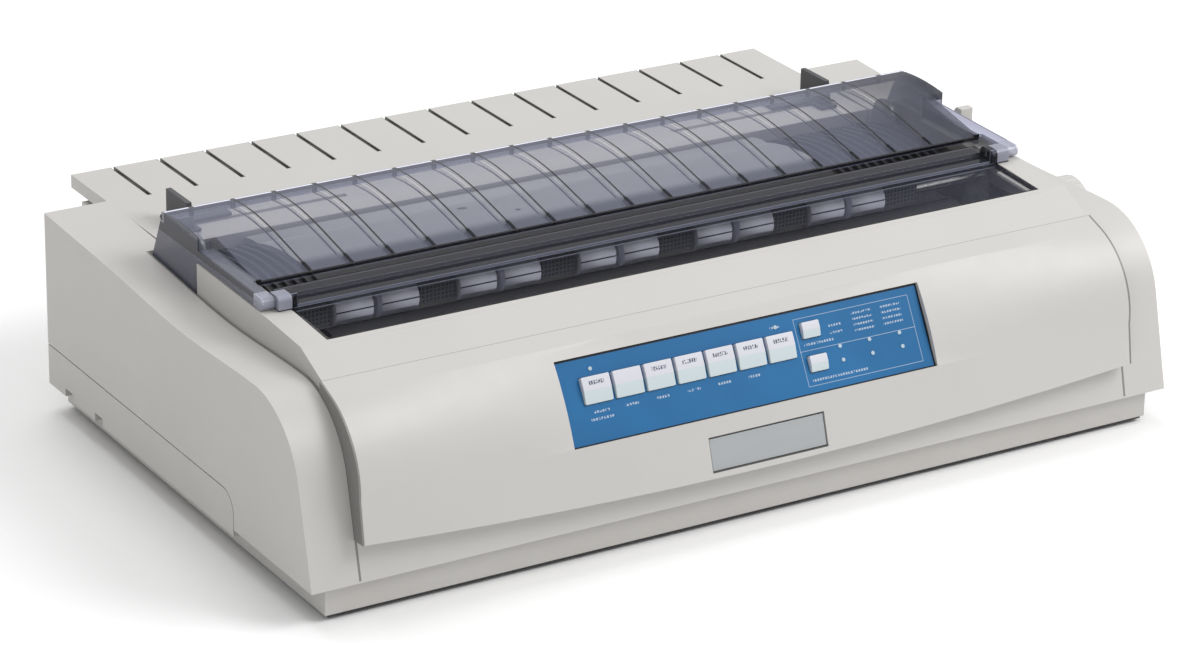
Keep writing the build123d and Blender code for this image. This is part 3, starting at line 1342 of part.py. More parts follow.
# --- everything, one file each ---------------------------------------------------------------------
def build():
    os.makedirs("parts", exist_ok=True)
    save("upper_housing", upper_housing())
    save("lower_housing", lower_housing())
    save("bottom_cover", bottom_cover())
    save("feet", feet())

    save("control_panel", control_panel())
    large, small = key_places()
    for number, place in enumerate(large, start=1):
        save(f"key_{number}", key(*place))
    save("small_key_upper", key(*small[0]))
    save("small_key_lower", key(*small[1]))
    save("panel_lamps", panel_lamps())
    save("nameplate", nameplate())

    save("access_cover", access_cover())
    save("front_window", front_window())
    save("hood", hood())
    save("paper_separator", paper_separator())
    save("left_paper_guide", paper_guide(-1))
    save("right_paper_guide", paper_guide(1))

    save("chassis_plate", chassis_plate())
    save("left_side_frame", left_side_frame())
    save("right_side_frame", right_side_frame())

    save("platen", platen())
    save("platen_shaft", platen_shaft())
    save("platen_gear", light_gear(platen_teeth, 0, platen_y, platen_z, platen_shaft_radius))
    save("platen_knob", platen_knob())
    save("idler_gear_front",
         light_gear(idler_teeth, angle_front, idler_front_y, idler_z, stud_radius + running))
    save("idler_gear_rear",
         light_gear(idler_teeth, angle_rear, idler_rear_y, idler_z, stud_radius + running))
    save("feed_motor", feed_motor())
    save("feed_motor_pinion", feed_motor_pinion())
    save("pressure_rollers", pressure_rollers())
    save("roller_shaft", roller_shaft())
    save("roller_brackets", roller_brackets())
    save("paper_pan", paper_pan())
    save("rear_paper_guide", rear_paper_guide())
    save("paper_chute", paper_chute())

    save("carriage_shaft", carriage_shaft())
    save("carriage_rack", carriage_rack())
    save("carriage", carriage())
    save("carriage_motor", carriage_motor())
    save("carriage_pinion", carriage_pinion())
    save("print_head", print_head())
    save("ribbon_cartridge", ribbon_cartridge())
    save("ribbon_knob", ribbon_knob())

    save("tractor_drive_shaft", tractor_drive_shaft())
    save("tractor_gear", light_gear(tractor_teeth, angle_tractor, tractor_y, tractor_z, square_shaft / 2))
    save("tractor_guide_shaft", tractor_guide_shaft())
    save("right_tractor", tractor())
    save("left_tractor", other_side(tractor()))
    save("right_tractor_lid", tractor_lid())
    save("left_tractor_lid", other_side(tractor_lid()))

    save("paper_lever", paper_lever())
    save("main_board", main_board())
    save("power_supply", power_supply())
    save("power_inlet", power_inlet())
    save("parallel_port", parallel_port())
    save("power_switch", power_switch())


build()
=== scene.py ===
import bmesh
import bpy
import math
import numpy as np
from mathutils import Matrix, Vector


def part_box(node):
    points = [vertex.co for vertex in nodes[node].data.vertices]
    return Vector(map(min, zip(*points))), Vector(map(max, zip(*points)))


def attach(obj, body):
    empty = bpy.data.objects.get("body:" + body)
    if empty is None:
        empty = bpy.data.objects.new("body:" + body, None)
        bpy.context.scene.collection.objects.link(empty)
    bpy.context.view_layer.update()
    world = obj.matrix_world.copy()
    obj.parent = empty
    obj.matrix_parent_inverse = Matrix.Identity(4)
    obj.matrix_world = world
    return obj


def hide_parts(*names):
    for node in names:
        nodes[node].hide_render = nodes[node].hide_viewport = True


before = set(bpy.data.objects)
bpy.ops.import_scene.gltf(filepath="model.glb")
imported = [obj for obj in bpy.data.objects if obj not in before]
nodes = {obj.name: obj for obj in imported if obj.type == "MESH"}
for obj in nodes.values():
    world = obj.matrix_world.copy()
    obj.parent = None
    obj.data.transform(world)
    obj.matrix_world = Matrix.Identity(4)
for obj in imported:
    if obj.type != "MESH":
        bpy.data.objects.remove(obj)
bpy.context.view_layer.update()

# The base. A beige moulded tray with a band round its sides and slots for cooling air near the
# front. It stands on four rubber feet, and a black steel sheet is screwed to its underside.
MM = 0.001
HUMP_REAR_Y = 226.6
housing_low, housing_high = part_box("upper_housing")
MIDDLE_X = (housing_low.x + housing_high.x) / 2
ZERO_Y = housing_high.y - HUMP_REAR_Y * MM
CASE_HALF = (housing_high.x - housing_low.x) / 2 / MM


def place(points):
    """Millimetres from the middle of the case, with z up from the table, to metres in the frame."""
    return np.asarray(points, float) * MM + np.array([MIDDLE_X, ZERO_Y, 0.0])


class Flow:
    """What comes out of one shader node. Arithmetic on it adds Math nodes to its material."""

    def __init__(self, finish, socket):
        self.finish, self.socket = finish, socket

    def maths(self, operation, *others):
        return self.finish.node("Math", {"operation": operation}, (self, *others))

    def __add__(self, other):
        return self.maths("ADD", other)

    def __sub__(self, other):
        return self.maths("SUBTRACT", other)

    def __rsub__(self, other):
        return self.finish.node("Math", {"operation": "SUBTRACT"}, (other, self))

    def __mul__(self, other):
        return self.maths("MULTIPLY", other)

    def __truediv__(self, other):
        return self.maths("DIVIDE", other)

    def __gt__(self, other):
        return self.maths("GREATER_THAN", other)

    def __lt__(self, other):
        return self.maths("LESS_THAN", other)

    def __abs__(self):
        return self.maths("ABSOLUTE")

    __radd__ = __add__
    __rmul__ = __mul__

    def either(self, other):
        """The larger of two masks."""
        return self.maths("MAXIMUM", other)

    def between(self, low, high):
        """1 from low to high, 0 elsewhere."""
        return (self > low) * (self < high)

    def ramp(self, low, high):
        """Rises smoothly from 0 at low to 1 at high."""
        smooth = {"interpolation_type": "SMOOTHSTEP"}
        return self.finish.node("MapRange", smooth, (self, low, high, 0.0, 1.0))

    def from_line(self, pitch, first=0.0):
        """Distance to the nearest of a row of lines with a pitch, one of them at first."""
        shifted = self - first + pitch / 2
        return abs(shifted.maths("FLOORED_MODULO", pitch) - pitch / 2)


class Finish:
    """One material: a Principled shader, its steady settings, and the nodes that vary it."""

    def __init__(self, name, colour, roughness, **steady):
        self.material = bpy.data.materials.new(name)
        self.material.use_nodes = True
        self.tree = self.material.node_tree
        self.shader = self.tree.nodes["Principled BSDF"]
        self.feed("Base Color", (*colour, 1.0))
        self.feed("Roughness", roughness)
        for key, value in steady.items():
            self.feed(key.replace("_", " ").title().replace("Ior", "IOR"), value)

    def join(self, value, socket):
        if isinstance(value, Flow):
            self.tree.links.new(value.socket, socket)
        else:
            socket.default_value = value

    def feed(self, name, value):
        self.join(value, self.shader.inputs[name])

    def node(self, kind, settings=None, inputs=(), output=0):
        made = self.tree.nodes.new("ShaderNode" + kind)
        for key, value in (settings or {}).items():
            setattr(made, key, value)
        for key, value in (inputs.items() if isinstance(inputs, dict) else enumerate(inputs)):
            self.join(value, made.inputs[key])
        return Flow(self, made.outputs[output])

    def spot(self):
        """Object coordinates: metres in the frame, because every piece sits at the origin."""
        return self.node("TexCoord", output="Object")

    def axes(self):
        """The three coordinates in millimetres from the middle of the case."""
        parts = [self.node("SeparateXYZ", None, [self.spot()], letter) for letter in "XYZ"]
        return [(part - offset) / MM for part, offset in zip(parts, (MIDDLE_X, ZERO_Y, 0.0))]

    def noise(self, size, detail=2.0, along=(1.0, 1.0, 1.0)):
        """Cloudy noise in blots of about a size in millimetres, longer where along is under 1."""
        drawn = self.node("VectorMath", {"operation": "MULTIPLY"}, (self.spot(), along))
        settings = {"Vector": drawn, "Scale": 1 / (size * MM), "Detail": detail}
        return self.node("TexNoise", None, settings)

    def mix(self, share, first, second):
        """First where the share is 0, second where it is 1."""
        first = first if isinstance(first, Flow) else (*first, 1.0)
        second = second if isinstance(second, Flow) else (*second, 1.0)
        return self.node("Mix", {"data_type": "RGBA"}, {0: share, 6: first, 7: second}, 2)

    def bump(self, height, depth, under=None):
        """Relief of a depth in millimetres, on top of other relief if given."""
        inputs = {"Distance": depth * MM, "Height": height}
        if under:
            inputs["Normal"] = under
        relief = self.node("Bump", None, inputs)
        self.feed("Normal", relief)
        return relief

    def on(self, *names):
        """Puts the material on carried-over CAD nodes."""
        for name in names:
            slots = nodes[name].data.materials
            slots.clear()
            slots.append(self.material)


def tint(colour, share):
    """A colour made darker by a share."""
    return tuple(part * (1 - share) for part in colour)


def moulded(name, colour, roughness, drift=0.06, grain=0.02, **steady):
    """Moulded plastic: spark-eroded grain 0.4 mm across, and colour and gloss that drift a little."""
    finish = Finish(name, colour, roughness, **steady)
    cloud = finish.noise(70.0, 3.0).ramp(0.3, 0.7)
    finish.colour = finish.mix(cloud, tint(colour, drift), colour)
    finish.feed("Base Color", finish.colour)
    finish.feed("Roughness", roughness - 0.06 + finish.noise(14.0) * 0.12)
    finish.relief = finish.bump(finish.noise(0.4, 1.0), grain)
    return finish


MERGE_DISTANCE = 0.004
FLAT_ANGLE, SHARP_ANGLE = math.radians(0.6), math.radians(28)


def eased(node, finish, body, radius, wide_radius=None, wide=None):
    """The node's own surface, merged, with its sharp edges rounded to a radius in millimetres. Wide
    gives the share of the wide radius that an edge with its two ends at a place gets, or 0."""
    work = bmesh.new()
    work.from_mesh(nodes[node].data)
    bmesh.ops.remove_doubles(work, verts=work.verts, dist=MERGE_DISTANCE * MM)
    bmesh.ops.dissolve_limit(work, angle_limit=FLAT_ANGLE, verts=work.verts, edges=work.edges)
    most = wide_radius or radius
    weight = work.edges.layers.float.new("bevel_weight_edge")
    for edge in work.edges:
        if edge.calc_face_angle(0) > SHARP_ANGLE:
            ends = [(vert.co - Vector((MIDDLE_X, ZERO_Y, 0.0))) / MM for vert in edge.verts]
            share = min(wide(end) for end in ends) if wide else 0.0
            edge[weight] = max(share, radius / most)
    mesh = bpy.data.meshes.new(node + "_skin")
    work.to_mesh(mesh)
    work.free()
    if "custom_normal" in mesh.attributes:
        mesh.attributes.remove(mesh.attributes["custom_normal"])
    mesh.materials.clear()
    mesh.materials.append(finish.material)
    mesh.shade_smooth()
    piece = bpy.data.objects.new(node + "_skin", mesh)
    bpy.context.scene.collection.objects.link(piece)
    edges = piece.modifiers.new("rounded_edges", "BEVEL")
    edges.limit_method = "WEIGHT"
    edges.width = most * MM
    edges.segments = 3
    edges.harden_normals = True
    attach(piece, body)
    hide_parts(node)


BEIGE = (0.51, 0.497, 0.478)
beige = moulded("beige_case", BEIGE, 0.44, drift=0.02)
# The beige is painted darker, in clouds, towards the bottom, up to 60 mm above the table.
DARKEN_LOW_Z, DARKEN_HIGH_Z = 4.0, 60.0
low_darkening = (1.0 - beige.axes()[2].ramp(DARKEN_LOW_Z, DARKEN_HIGH_Z)) * beige.noise(30.0, 4.0)
beige.feed("Base Color", beige.mix(low_darkening * 0.35, beige.colour, (0.38, 0.355, 0.325)))
eased("lower_housing", beige, "case", 0.6)
black_sheet = moulded("black_painted_steel", (0.018, 0.018, 0.02), 0.5, drift=0.2, grain=0.01)
black_sheet.on("bottom_cover")
foot_rubber = moulded("foot_rubber", (0.03, 0.03, 0.032), 0.85, drift=0.2, grain=0.05)
foot_rubber.on("feet")

# The frames. A pressed chassis plate on the base's bosses and two side frames that carry every
# shaft. They are zinc-plated steel sheet with a faint spangle and fine rolling lines.
zinc = Finish("zinc_plated_steel", (0.5, 0.51, 0.53), 0.34, metallic=0.9)
spangle = zinc.node("TexVoronoi", None, {"Vector": zinc.spot(), "Scale": 260.0}, "Color")
shine = zinc.node("SeparateColor", None, [spangle])
cloudy = shine * 0.5 + zinc.noise(40.0) * 0.4
zinc.feed("Base Color", zinc.mix(cloudy, (0.4, 0.41, 0.43), (0.58, 0.59, 0.61)))
zinc.feed("Roughness", 0.26 + shine * 0.1 + zinc.noise(6.0, 2.0, (1.0, 0.1, 0.1)) * 0.12)
zinc.bump(zinc.noise(1.5, 2.0, (1.0, 0.05, 0.05)), 0.004)
zinc.on("chassis_plate", "left_side_frame", "right_side_frame", "paper_pan")

# The electrics. A board with its chips on standoffs, a laminated transformer, and the sockets and
# the rocker switch in the rear wall. The board is glass fibre under green lacquer.
BOARD_TOP, TRACK_PITCH, TRACK_HALF = 23.6, 2.54, 0.35
LAYER_PITCH = 0.9
board = Finish("green_circuit_board", (0.015, 0.13, 0.05), 0.3)
x, y, z = board.axes()
chip = z > BOARD_TOP + 0.1
wander = board.noise(18.0, 0.0) * 6.0
track = ((x + wander).from_line(TRACK_PITCH) < TRACK_HALF) * (board.noise(26.0) > 0.5)
track = track + ((y + wander).from_line(TRACK_PITCH) < TRACK_HALF) * (board.noise(26.0) < 0.42)
lacquer = board.mix(track * 0.8, (0.012, 0.11, 0.045), (0.06, 0.27, 0.1))
board.feed("Base Color", board.mix(chip, lacquer, (0.015, 0.015, 0.017)))
board.feed("Roughness", 0.3 + chip * 0.2 + board.noise(3.0) * 0.1)
board.bump(track + board.noise(0.5), 0.03)
board.on("main_board")
core = Finish("laminated_core", (0.12, 0.12, 0.125), 0.45, metallic=0.7)
layer = core.axes()[2].from_line(LAYER_PITCH).ramp(0.0, 0.3)
core.feed("Base Color", core.mix(layer, (0.03, 0.03, 0.032), (0.16, 0.16, 0.17)))
core.feed("Roughness", 0.4 + core.noise(5.0) * 0.2)
core.bump(layer, 0.1)
core.on("power_supply")
jet = moulded("black_moulding", (0.022, 0.022, 0.025), 0.42, drift=0.15)
eased("power_inlet", jet, "case", 0.4)
eased("power_switch", jet, "rocker", 0.5)
eased("parallel_port", jet, "case", 0.3)

# The carriage. It runs on a ground steel rod and a nylon rack, and carries its motor, the finned
# print head of cast aluminium and the black ribbon cartridge with its winding knob.
ground = Finish("ground_steel", (0.62, 0.62, 0.63), 0.2, metallic=1.0)
ground.feed("Base Color", ground.mix(ground.noise(30.0), (0.5, 0.5, 0.51), (0.68, 0.68, 0.7)))
ground.feed("Roughness", 0.14 + ground.noise(2.0, 3.0, (1.0, 0.2, 0.2)) * 0.2)
ground.bump(ground.noise(0.6, 2.0, (1.0, 0.1, 0.1)), 0.004)
ground.on("platen_shaft", "roller_shaft", "carriage_shaft", "tractor_drive_shaft",
          "tractor_guide_shaft", "feed_motor_pinion", "carriage_pinion")
jet.on("carriage_rack", "carriage")
motor_case = moulded("motor_case", (0.035, 0.035, 0.04), 0.35, drift=0.2, grain=0.01, metallic=0.5)
motor_case.on("feed_motor", "carriage_motor")
cast = moulded("cast_head", (0.09, 0.09, 0.1), 0.5, drift=0.3, grain=0.06, metallic=0.8)
eased("print_head", cast, "carriage_unit", 0.5)
eased("ribbon_cartridge", jet, "carriage_unit", 0.4)
grey_knob = moulded("grey_knob", (0.42, 0.43, 0.44), 0.4)
eased("ribbon_knob", grey_knob, "ribbon_winder", 0.3)

# The platen and its gears. A roller of hard black rubber, ground round, on a steel shaft. The
# gears on its left end are cut from cream nylon.
rubber = Finish("platen_rubber", (0.02, 0.02, 0.022), 0.62)
worn_dark, worn_light = (0.016, 0.016, 0.018), (0.032, 0.032, 0.035)
rubber.feed("Base Color", rubber.mix(rubber.noise(25.0, 3.0), worn_dark, worn_light))
rubber.feed("Roughness", 0.55 + rubber.noise(2.0, 2.0, (1.0, 0.1, 0.1)) * 0.2)
rubber.bump(rubber.noise(0.5, 2.0, (1.0, 0.1, 0.1)), 0.02)
rubber.on("platen")
nylon = moulded("cream_nylon", (0.68, 0.64, 0.54), 0.38, drift=0.08, specular_ior_level=0.55)
nylon.on("platen_gear", "idler_gear_front", "idler_gear_rear", "tractor_gear")

# The pressure rollers. Ten pale rollers in five pairs on one shaft press the paper to the platen.
# Each turns under a thin pale half shell, and dark ribbed brackets stand between the pairs.
PALE_BLUE = (0.74, 0.76, 0.9)
pale = moulded("pale_roller_plastic", PALE_BLUE, 0.34, drift=0.08)
pale.on("pressure_rollers")
bracket = moulded("dark_ribbed_bracket", (0.055, 0.058, 0.068), 0.5, drift=0.3)
x, y, z = bracket.axes()
MESH_PITCH, MESH_HALF = 2.4, 0.5
weave = (x.from_line(MESH_PITCH) < MESH_HALF).either(z.from_line(MESH_PITCH, 0.6) < MESH_HALF)
bracket.feed("Base Color", bracket.mix(weave, (0.03, 0.032, 0.038), (0.1, 0.105, 0.12)))
bracket.bump(weave, 0.3, bracket.relief)
bracket.on("roller_brackets")


def skin(name, grids, finish, body, wall):
    """One mesh over several grids of points in millimetres, each cell a quad, given a wall."""
    mesh = bpy.data.meshes.new(name)
    points, quads, start = [], [], 0
    for grid in grids:
        rows, columns = grid.shape[:2]
        index = np.arange(rows * columns).reshape(rows, columns) + start
        corners = (index[:-1, :-1], index[1:, :-1], index[1:, 1:], index[:-1, 1:])
        quads.append(np.stack(corners, -1).reshape(-1, 4))
        points.append(place(grid.reshape(-1, 3)))
        start += rows * columns
    mesh.from_pydata(np.concatenate(points), [], np.concatenate(quads))
    mesh.materials.append(finish.material)
    mesh.shade_smooth()
    piece = bpy.data.objects.new(name, mesh)
    bpy.context.scene.collection.objects.link(piece)
    thick = piece.modifiers.new("wall", "SOLIDIFY")
    thick.thickness = wall * MM
    thick.offset = 1.0
    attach(piece, body)


ROLLER_Y, ROLLER_Z = -6.5, 117.8
ROLLER_WIDTH, PAIR_PITCH, PAIR_FIRST_X, PAIR_SPREAD = 22.5, 76.2, -174.4, 14.0
SHELL_RADIUS, SHELL_WALL = 9.35, 0.5
SHELL_LOW, SHELL_HIGH = -28.0, 96.0
GAP_SHADOW_Z, GAP_SHADOW_HALF = 119.0, 0.4


def roller_shell(middle):
    """An arc about the roller's axis, from in front of it to its top, carried along x."""
    turn = np.radians(np.linspace(180 - SHELL_LOW, 180 - SHELL_HIGH, 17))[:, None]
    along = np.linspace(-0.5, 0.5, 3)[None, :] * ROLLER_WIDTH + middle
    turn, along = np.broadcast_arrays(turn, along)
    across, up = SHELL_RADIUS * np.cos(turn), SHELL_RADIUS * np.sin(turn)
    return np.stack([along, ROLLER_Y + across, ROLLER_Z + up], -1)


pair_middles = PAIR_FIRST_X + PAIR_PITCH * np.arange(5)
shell_middles = np.concatenate([pair_middles - PAIR_SPREAD, pair_middles + PAIR_SPREAD])
shell = moulded("pale_shell", PALE_BLUE, 0.34, drift=0.06)
# A thin painted shadow runs round each shell at the roller's mid height, for the gap to the roller.
gap_shadow = abs(shell.axes()[2] - GAP_SHADOW_Z) < GAP_SHADOW_HALF
shell.feed("Base Color", shell.mix(gap_shadow, shell.colour, (0.03, 0.03, 0.04)))
shells = [roller_shell(middle) for middle in shell_middles]
skin("roller_shells", shells, shell, "case", SHELL_WALL)

# The paper path. A pale curved chute behind the rollers carries the paper out under the hood. Its
# dark ends are ribbed, and a dark carrier below it reaches from frame to frame. A thin tail of the
# same plastic as the chute, clipped to its rear edge, closes the space in front of the tray.
CHUTE_DARK_Y, CHUTE_PALE_Y = 44.0, 56.0
CHUTE_HOLES = ((-67.0, 83.0, 3.0), (-43.0, 61.0, 1.5))
chute = moulded("grey_chute", (0.46, 0.465, 0.48), 0.42, drift=0.1)
x, y, z = chute.axes()
holes = 0.0
for hole_x, hole_y, hole_radius in CHUTE_HOLES:
    apart = (x - hole_x) * (x - hole_x) + (y - hole_y) * (y - hole_y)
    holes = holes + (apart < hole_radius * hole_radius)
shade = holes.either((1.0 - y.ramp(CHUTE_DARK_Y, CHUTE_PALE_Y)) * 0.95)
chute.feed("Base Color", chute.mix(shade, chute.colour, (0.03, 0.03, 0.035)))
chute.on("paper_chute")
TAIL_LEFT, TAIL_RIGHT = -188.0, 150.0
TAIL_FRONT, TAIL_REAR = np.array([97.0, 116.8]), np.array([115.4, 115.2])
TAIL_BULGE, TAIL_WALL = np.array([0.0, 0.8]), 0.8
across = np.linspace(TAIL_LEFT, TAIL_RIGHT, 3)[None, :, None]
share = np.linspace(0.0, 1.0, 9)[:, None, None]
along = TAIL_FRONT + (TAIL_REAR - TAIL_FRONT) * share + TAIL_BULGE * np.sin(math.pi * share)
tail = np.concatenate(np.broadcast_arrays(across, along[..., :1], along[..., 1:]), -1)
skin("chute_tail", [tail], chute, "case", TAIL_WALL)
carrier = moulded("dark_carrier", (0.05, 0.05, 0.056), 0.5, drift=0.2)
carrier.on("rear_paper_guide")

# The tractors. Two black sprocket units on a square shaft and a round one behind the platen, each
# with a lid that holds the paper's edge on the pins.
for side in ("left", "right"):
    eased(f"{side}_tractor", jet, f"tractor_{side}", 0.4)
    eased(f"{side}_tractor_lid", jet, f"lid_{side}", 0.3)

# The upper case. One large beige moulding: swept side strips, the raised front panel with its
# scoop, and the hump at the rear. It drops over the base and meets it along a fine seam.
LIP_LOW, LIP_HIGH, LIP_REAR_Y = 64.5, 67.0, -124.0
LIP_RADIUS, SIDE_SHARE = 4.5, 0.45
PLATE_X, PLATE_Z, PLATE_HALF_WIDTH, PLATE_HALF_HEIGHT = 2.8, 46.2, 37.3, 9.35
FRONT_FACE_Y = -100.0
SEAM_X, SEAM_HALF_WIDTH, SEAM_LOW_Z, SEAM_REAR_Y = 247.5, 0.7, 21.0, 117.0
SHADOW = (0.1, 0.098, 0.094)


def soft_edge(spot):
    """1 along the scoop's lower lip, less at the case's two sides, 0 elsewhere."""
    if LIP_LOW < spot.z < LIP_HIGH and spot.y < LIP_REAR_Y:
        return 1.0
    return SIDE_SHARE if abs(spot.x) > CASE_HALF - 0.1 else 0.0


case = moulded("beige_upper_case", BEIGE, 0.44, drift=0.02)
x, y, z = case.axes()
pocket = (abs(x - PLATE_X) < PLATE_HALF_WIDTH) * (abs(z - PLATE_Z) < PLATE_HALF_HEIGHT)
strip_seam = (abs(abs(x) - SEAM_X) < SEAM_HALF_WIDTH) * (z > SEAM_LOW_Z) * (y < SEAM_REAR_Y)
sunk = (pocket * (y < FRONT_FACE_Y)).either(strip_seam * 0.75)
case.feed("Base Color", case.mix(sunk, case.colour, SHADOW))
eased("upper_housing", case, "case", 0.7, LIP_RADIUS, soft_edge)

# The nameplate. A bare plate of brushed silver-grey metal, stuck in a shallow pocket.
plate = Finish("brushed_nameplate", (0.52, 0.54, 0.55), 0.36, metallic=0.55)
brushed = plate.noise(30.0, 3.0, (0.1, 1.0, 1.0))
plate.feed("Base Color", plate.mix(brushed, (0.34, 0.36, 0.37), (0.46, 0.48, 0.49)))
plate.feed("Roughness", 0.3 + plate.noise(0.8, 2.0, (0.03, 1.0, 1.0)) * 0.2)
plate.bump(plate.noise(0.4, 2.0, (0.03, 1.0, 1.0)), 0.006)
eased("nameplate", plate, "case", 0.25)

# The control panel. A moulded plate under a printed blue film, set in the scoop. White frames and
# plain marks are printed on the film, and nine keys and eight lamps come up through it.
PAD_WIDTH, PAD_TILT = 233.5, math.radians(29.8)
PAD_TOP_Y, PAD_TOP_Z = -102.3, 106.0
BLUE = (0.018, 0.135, 0.32)
film = moulded("blue_film", BLUE, 0.32, drift=0.12, grain=0.006, specular_ior_level=0.2)


def on_pad(finish):
    """Millimetres from the panel's left edge, and down the slope from its top edge."""
    x, y, z = finish.axes()
    down = (y - PAD_TOP_Y) * -math.sin(PAD_TILT) + (z - PAD_TOP_Z) * -math.cos(PAD_TILT)
    return x + PAD_WIDTH / 2, down


u, v = on_pad(film)


def patch(left, right, top, bottom):
    """1 inside a rectangle on the film."""
    return u.between(left, right) * v.between(top, bottom)


def outline(left, right, top, bottom, line):
    """1 on a line of a width round the inside of a rectangle."""
    inside = patch(left + line, right - line, top + line, bottom - line)
    return patch(left, right, top, bottom) - inside


KEY_FIRST_U, KEY_PITCH, KEYS_END_U = 21.5, 19.5, 150.0
FRAME_LINE = 0.35
FRAME_LEFT, FRAME_RIGHT, FRAME_TOP, FRAME_MIDDLE, FRAME_LOW = 150.5, 226.5, 5.0, 23.2, 43.0
marks = outline(FRAME_LEFT, FRAME_RIGHT, FRAME_TOP, FRAME_LOW, FRAME_LINE)
marks = marks + patch(FRAME_LEFT, FRAME_RIGHT, FRAME_MIDDLE, FRAME_MIDDLE + FRAME_LINE)
broken = (u.from_line(1.7) > 0.28) * (film.noise(1.1, 0.0) > 0.36)
key_middles = [KEY_FIRST_U + KEY_PITCH * number for number in range(1, 6)]
rows = [(middle - 4.0, middle + 4.0, 29.6, 30.9) for middle in key_middles]
rows += [(17.0, 27.0, 29.6, 30.9), (14.5, 29.0, 33.4, 34.7), (135.0, 141.5, 6.4, 7.6)]
rows += [(154.0, 173.0, 19.4, 20.7), (154.0, 190.0, 39.4, 40.7)]
for left in (188.0, 207.0):
    rows += [(left, left + 13.0, top, top + 1.1) for top in (8.0, 11.2, 14.4, 17.6)]
rows += [(171.5, 180.5, 12.0, 13.1), (171.5, 180.5, 16.0, 17.1)]
words = sum(patch(*row) for row in rows)
ink = marks * 0.45 + words * broken * 0.6
# A thin painted shadow runs round the film's edge, where the panel sits below the scoop's floor.
rim = 1.0 - patch(0.5, PAD_WIDTH - 0.9, 0.9, 46.5)
printed = film.mix(ink, film.colour, (0.62, 0.66, 0.72))
film.feed("Base Color", film.mix(rim, printed, (0.01, 0.012, 0.02)))
eased("control_panel", film, "case", 0.25)

# The keys. Off-white moulded caps, flat above and falling away below, each with a small dark mark
# printed on its flat half. They press through the panel on springs.
cap = moulded("key_cap", (0.6, 0.605, 0.66), 0.38, drift=0.04)
u, v = on_pad(cap)
large, small = u < KEYS_END_U, u > KEYS_END_U
fall = (v.between(18.6, 27.0) * large).either(v.between(12.5, 18.0) * small)
fall = fall.either(v.between(31.2, 38.0) * small)
shaded = cap.mix(fall * 0.85, cap.colour, (0.5, 0.585, 0.6))
blank = u.between(KEY_FIRST_U + KEY_PITCH / 2, KEY_FIRST_U + KEY_PITCH * 1.5)
mark = (u.from_line(KEY_PITCH, KEY_FIRST_U) < 4.6) * v.between(13.6, 15.8) * large * (1.0 - blank)
mark = mark * (u.from_line(1.5) > 0.2) * (cap.noise(1.0, 0.0) > 0.4)
cap.feed("Base Color", cap.mix(mark * 0.9, shaded, (0.03, 0.035, 0.08)))
for number in range(1, 8):
    eased(f"key_{number}", cap, f"large_key_{number}", 0.45)
eased("small_key_upper", cap, "upper_key", 0.4)
eased("small_key_lower", cap, "lower_key", 0.4)

# The lamps. Small round light pipes of milky plastic, set flush in the panel.
lens = Finish("milky_lamp", (0.4, 0.5, 0.58), 0.18, coat_weight=0.5)
lens.feed("Base Color", lens.mix(lens.noise(1.5), (0.3, 0.42, 0.5), (0.5, 0.6, 0.66)))
lens.on("panel_lamps")

# The access cover. A beige moulded frame with a broad front bar, side rails and rear hinge arms.
eased("access_cover", beige, "cover", 0.6)

# The window. A sheet of smoked blue-grey plastic set in the cover. Its rear edge is thickened into
# a dark stepped crossbar that carries the hood's bearings.
SMOKE = (0.03, 0.032, 0.05)
BOSS_HIGHLIGHT = (0.4, 0.41, 0.5)
PIVOT_Y, BOSS_REACH, BOSS_LOW_Z, BOSS_X = -16.0, 7.0, 130.5, 229.4


def smoked(name, colour, alpha, edge_alpha, shine):
    """Clear tinted plastic: seen through from above, darker and glossier at a low angle."""
    finish = Finish(name, colour, 0.05, ior=1.49, specular_ior_level=shine)
    finish.alpha = alpha + finish.node("LayerWeight", None, {"Blend": 0.2}, "Facing") * edge_alpha
    finish.feed("Roughness", 0.03 + finish.noise(20.0, 3.0) * 0.07)
    finish.bump(finish.noise(40.0), 0.05)
    x, y, z = finish.axes()
    # The bosses round the hood's pivots are painted paler: a painted highlight on their clear
    # plastic.
    finish.boss = 0.8 * (abs(x) > BOSS_X) * (abs(y - PIVOT_Y) < BOSS_REACH) * (z > BOSS_LOW_Z)
    return finish


CROSSBAR_FRONT_Y, CROSSBAR_STEP_Y, CROSSBAR_REAR_Y = -20.4, -9.5, -1.0
WINDOW_FRONT_Y, WINDOW_RIM_X = -61.2, 228.4
BAR_BLACK, BAR_HIGHLIGHT, RIM_BLACK = (0.02, 0.021, 0.028), (0.2, 0.21, 0.28), (0.006, 0.006, 0.008)
window = smoked("smoked_window", SMOKE, 0.04, 0.12, 0.25)
x, y, z = window.axes()
bar = y > CROSSBAR_FRONT_Y
# Painted highlights: a pale line along the crossbar's front edge, fainter ones along its step and
# rear.
crossbar_highlight = y.between(CROSSBAR_FRONT_Y - 0.8, CROSSBAR_FRONT_Y + 0.8)
step_highlights = (abs(y - CROSSBAR_STEP_Y) < 0.35).either(abs(y - CROSSBAR_REAR_Y) < 0.4)
rim = (y < WINDOW_FRONT_Y).either((abs(x) > WINDOW_RIM_X) * (y < CROSSBAR_FRONT_Y))
# The sheet is painted paler towards its right end.
paler_to_right = window.mix(x.ramp(60.0, 230.0), SMOKE, (0.16, 0.17, 0.25))
barred = window.mix(crossbar_highlight, window.mix(bar, paler_to_right, BAR_BLACK), BAR_HIGHLIGHT)
edged = window.mix(rim, window.mix(step_highlights * 0.6, barred, (0.16, 0.165, 0.2)), RIM_BLACK)
window.feed("Base Color", window.mix(window.boss, edged, BOSS_HIGHLIGHT))
window.feed("Alpha", window.alpha + bar * 0.7 + rim * 0.8)
eased("front_window", window, "cover", 0.5)
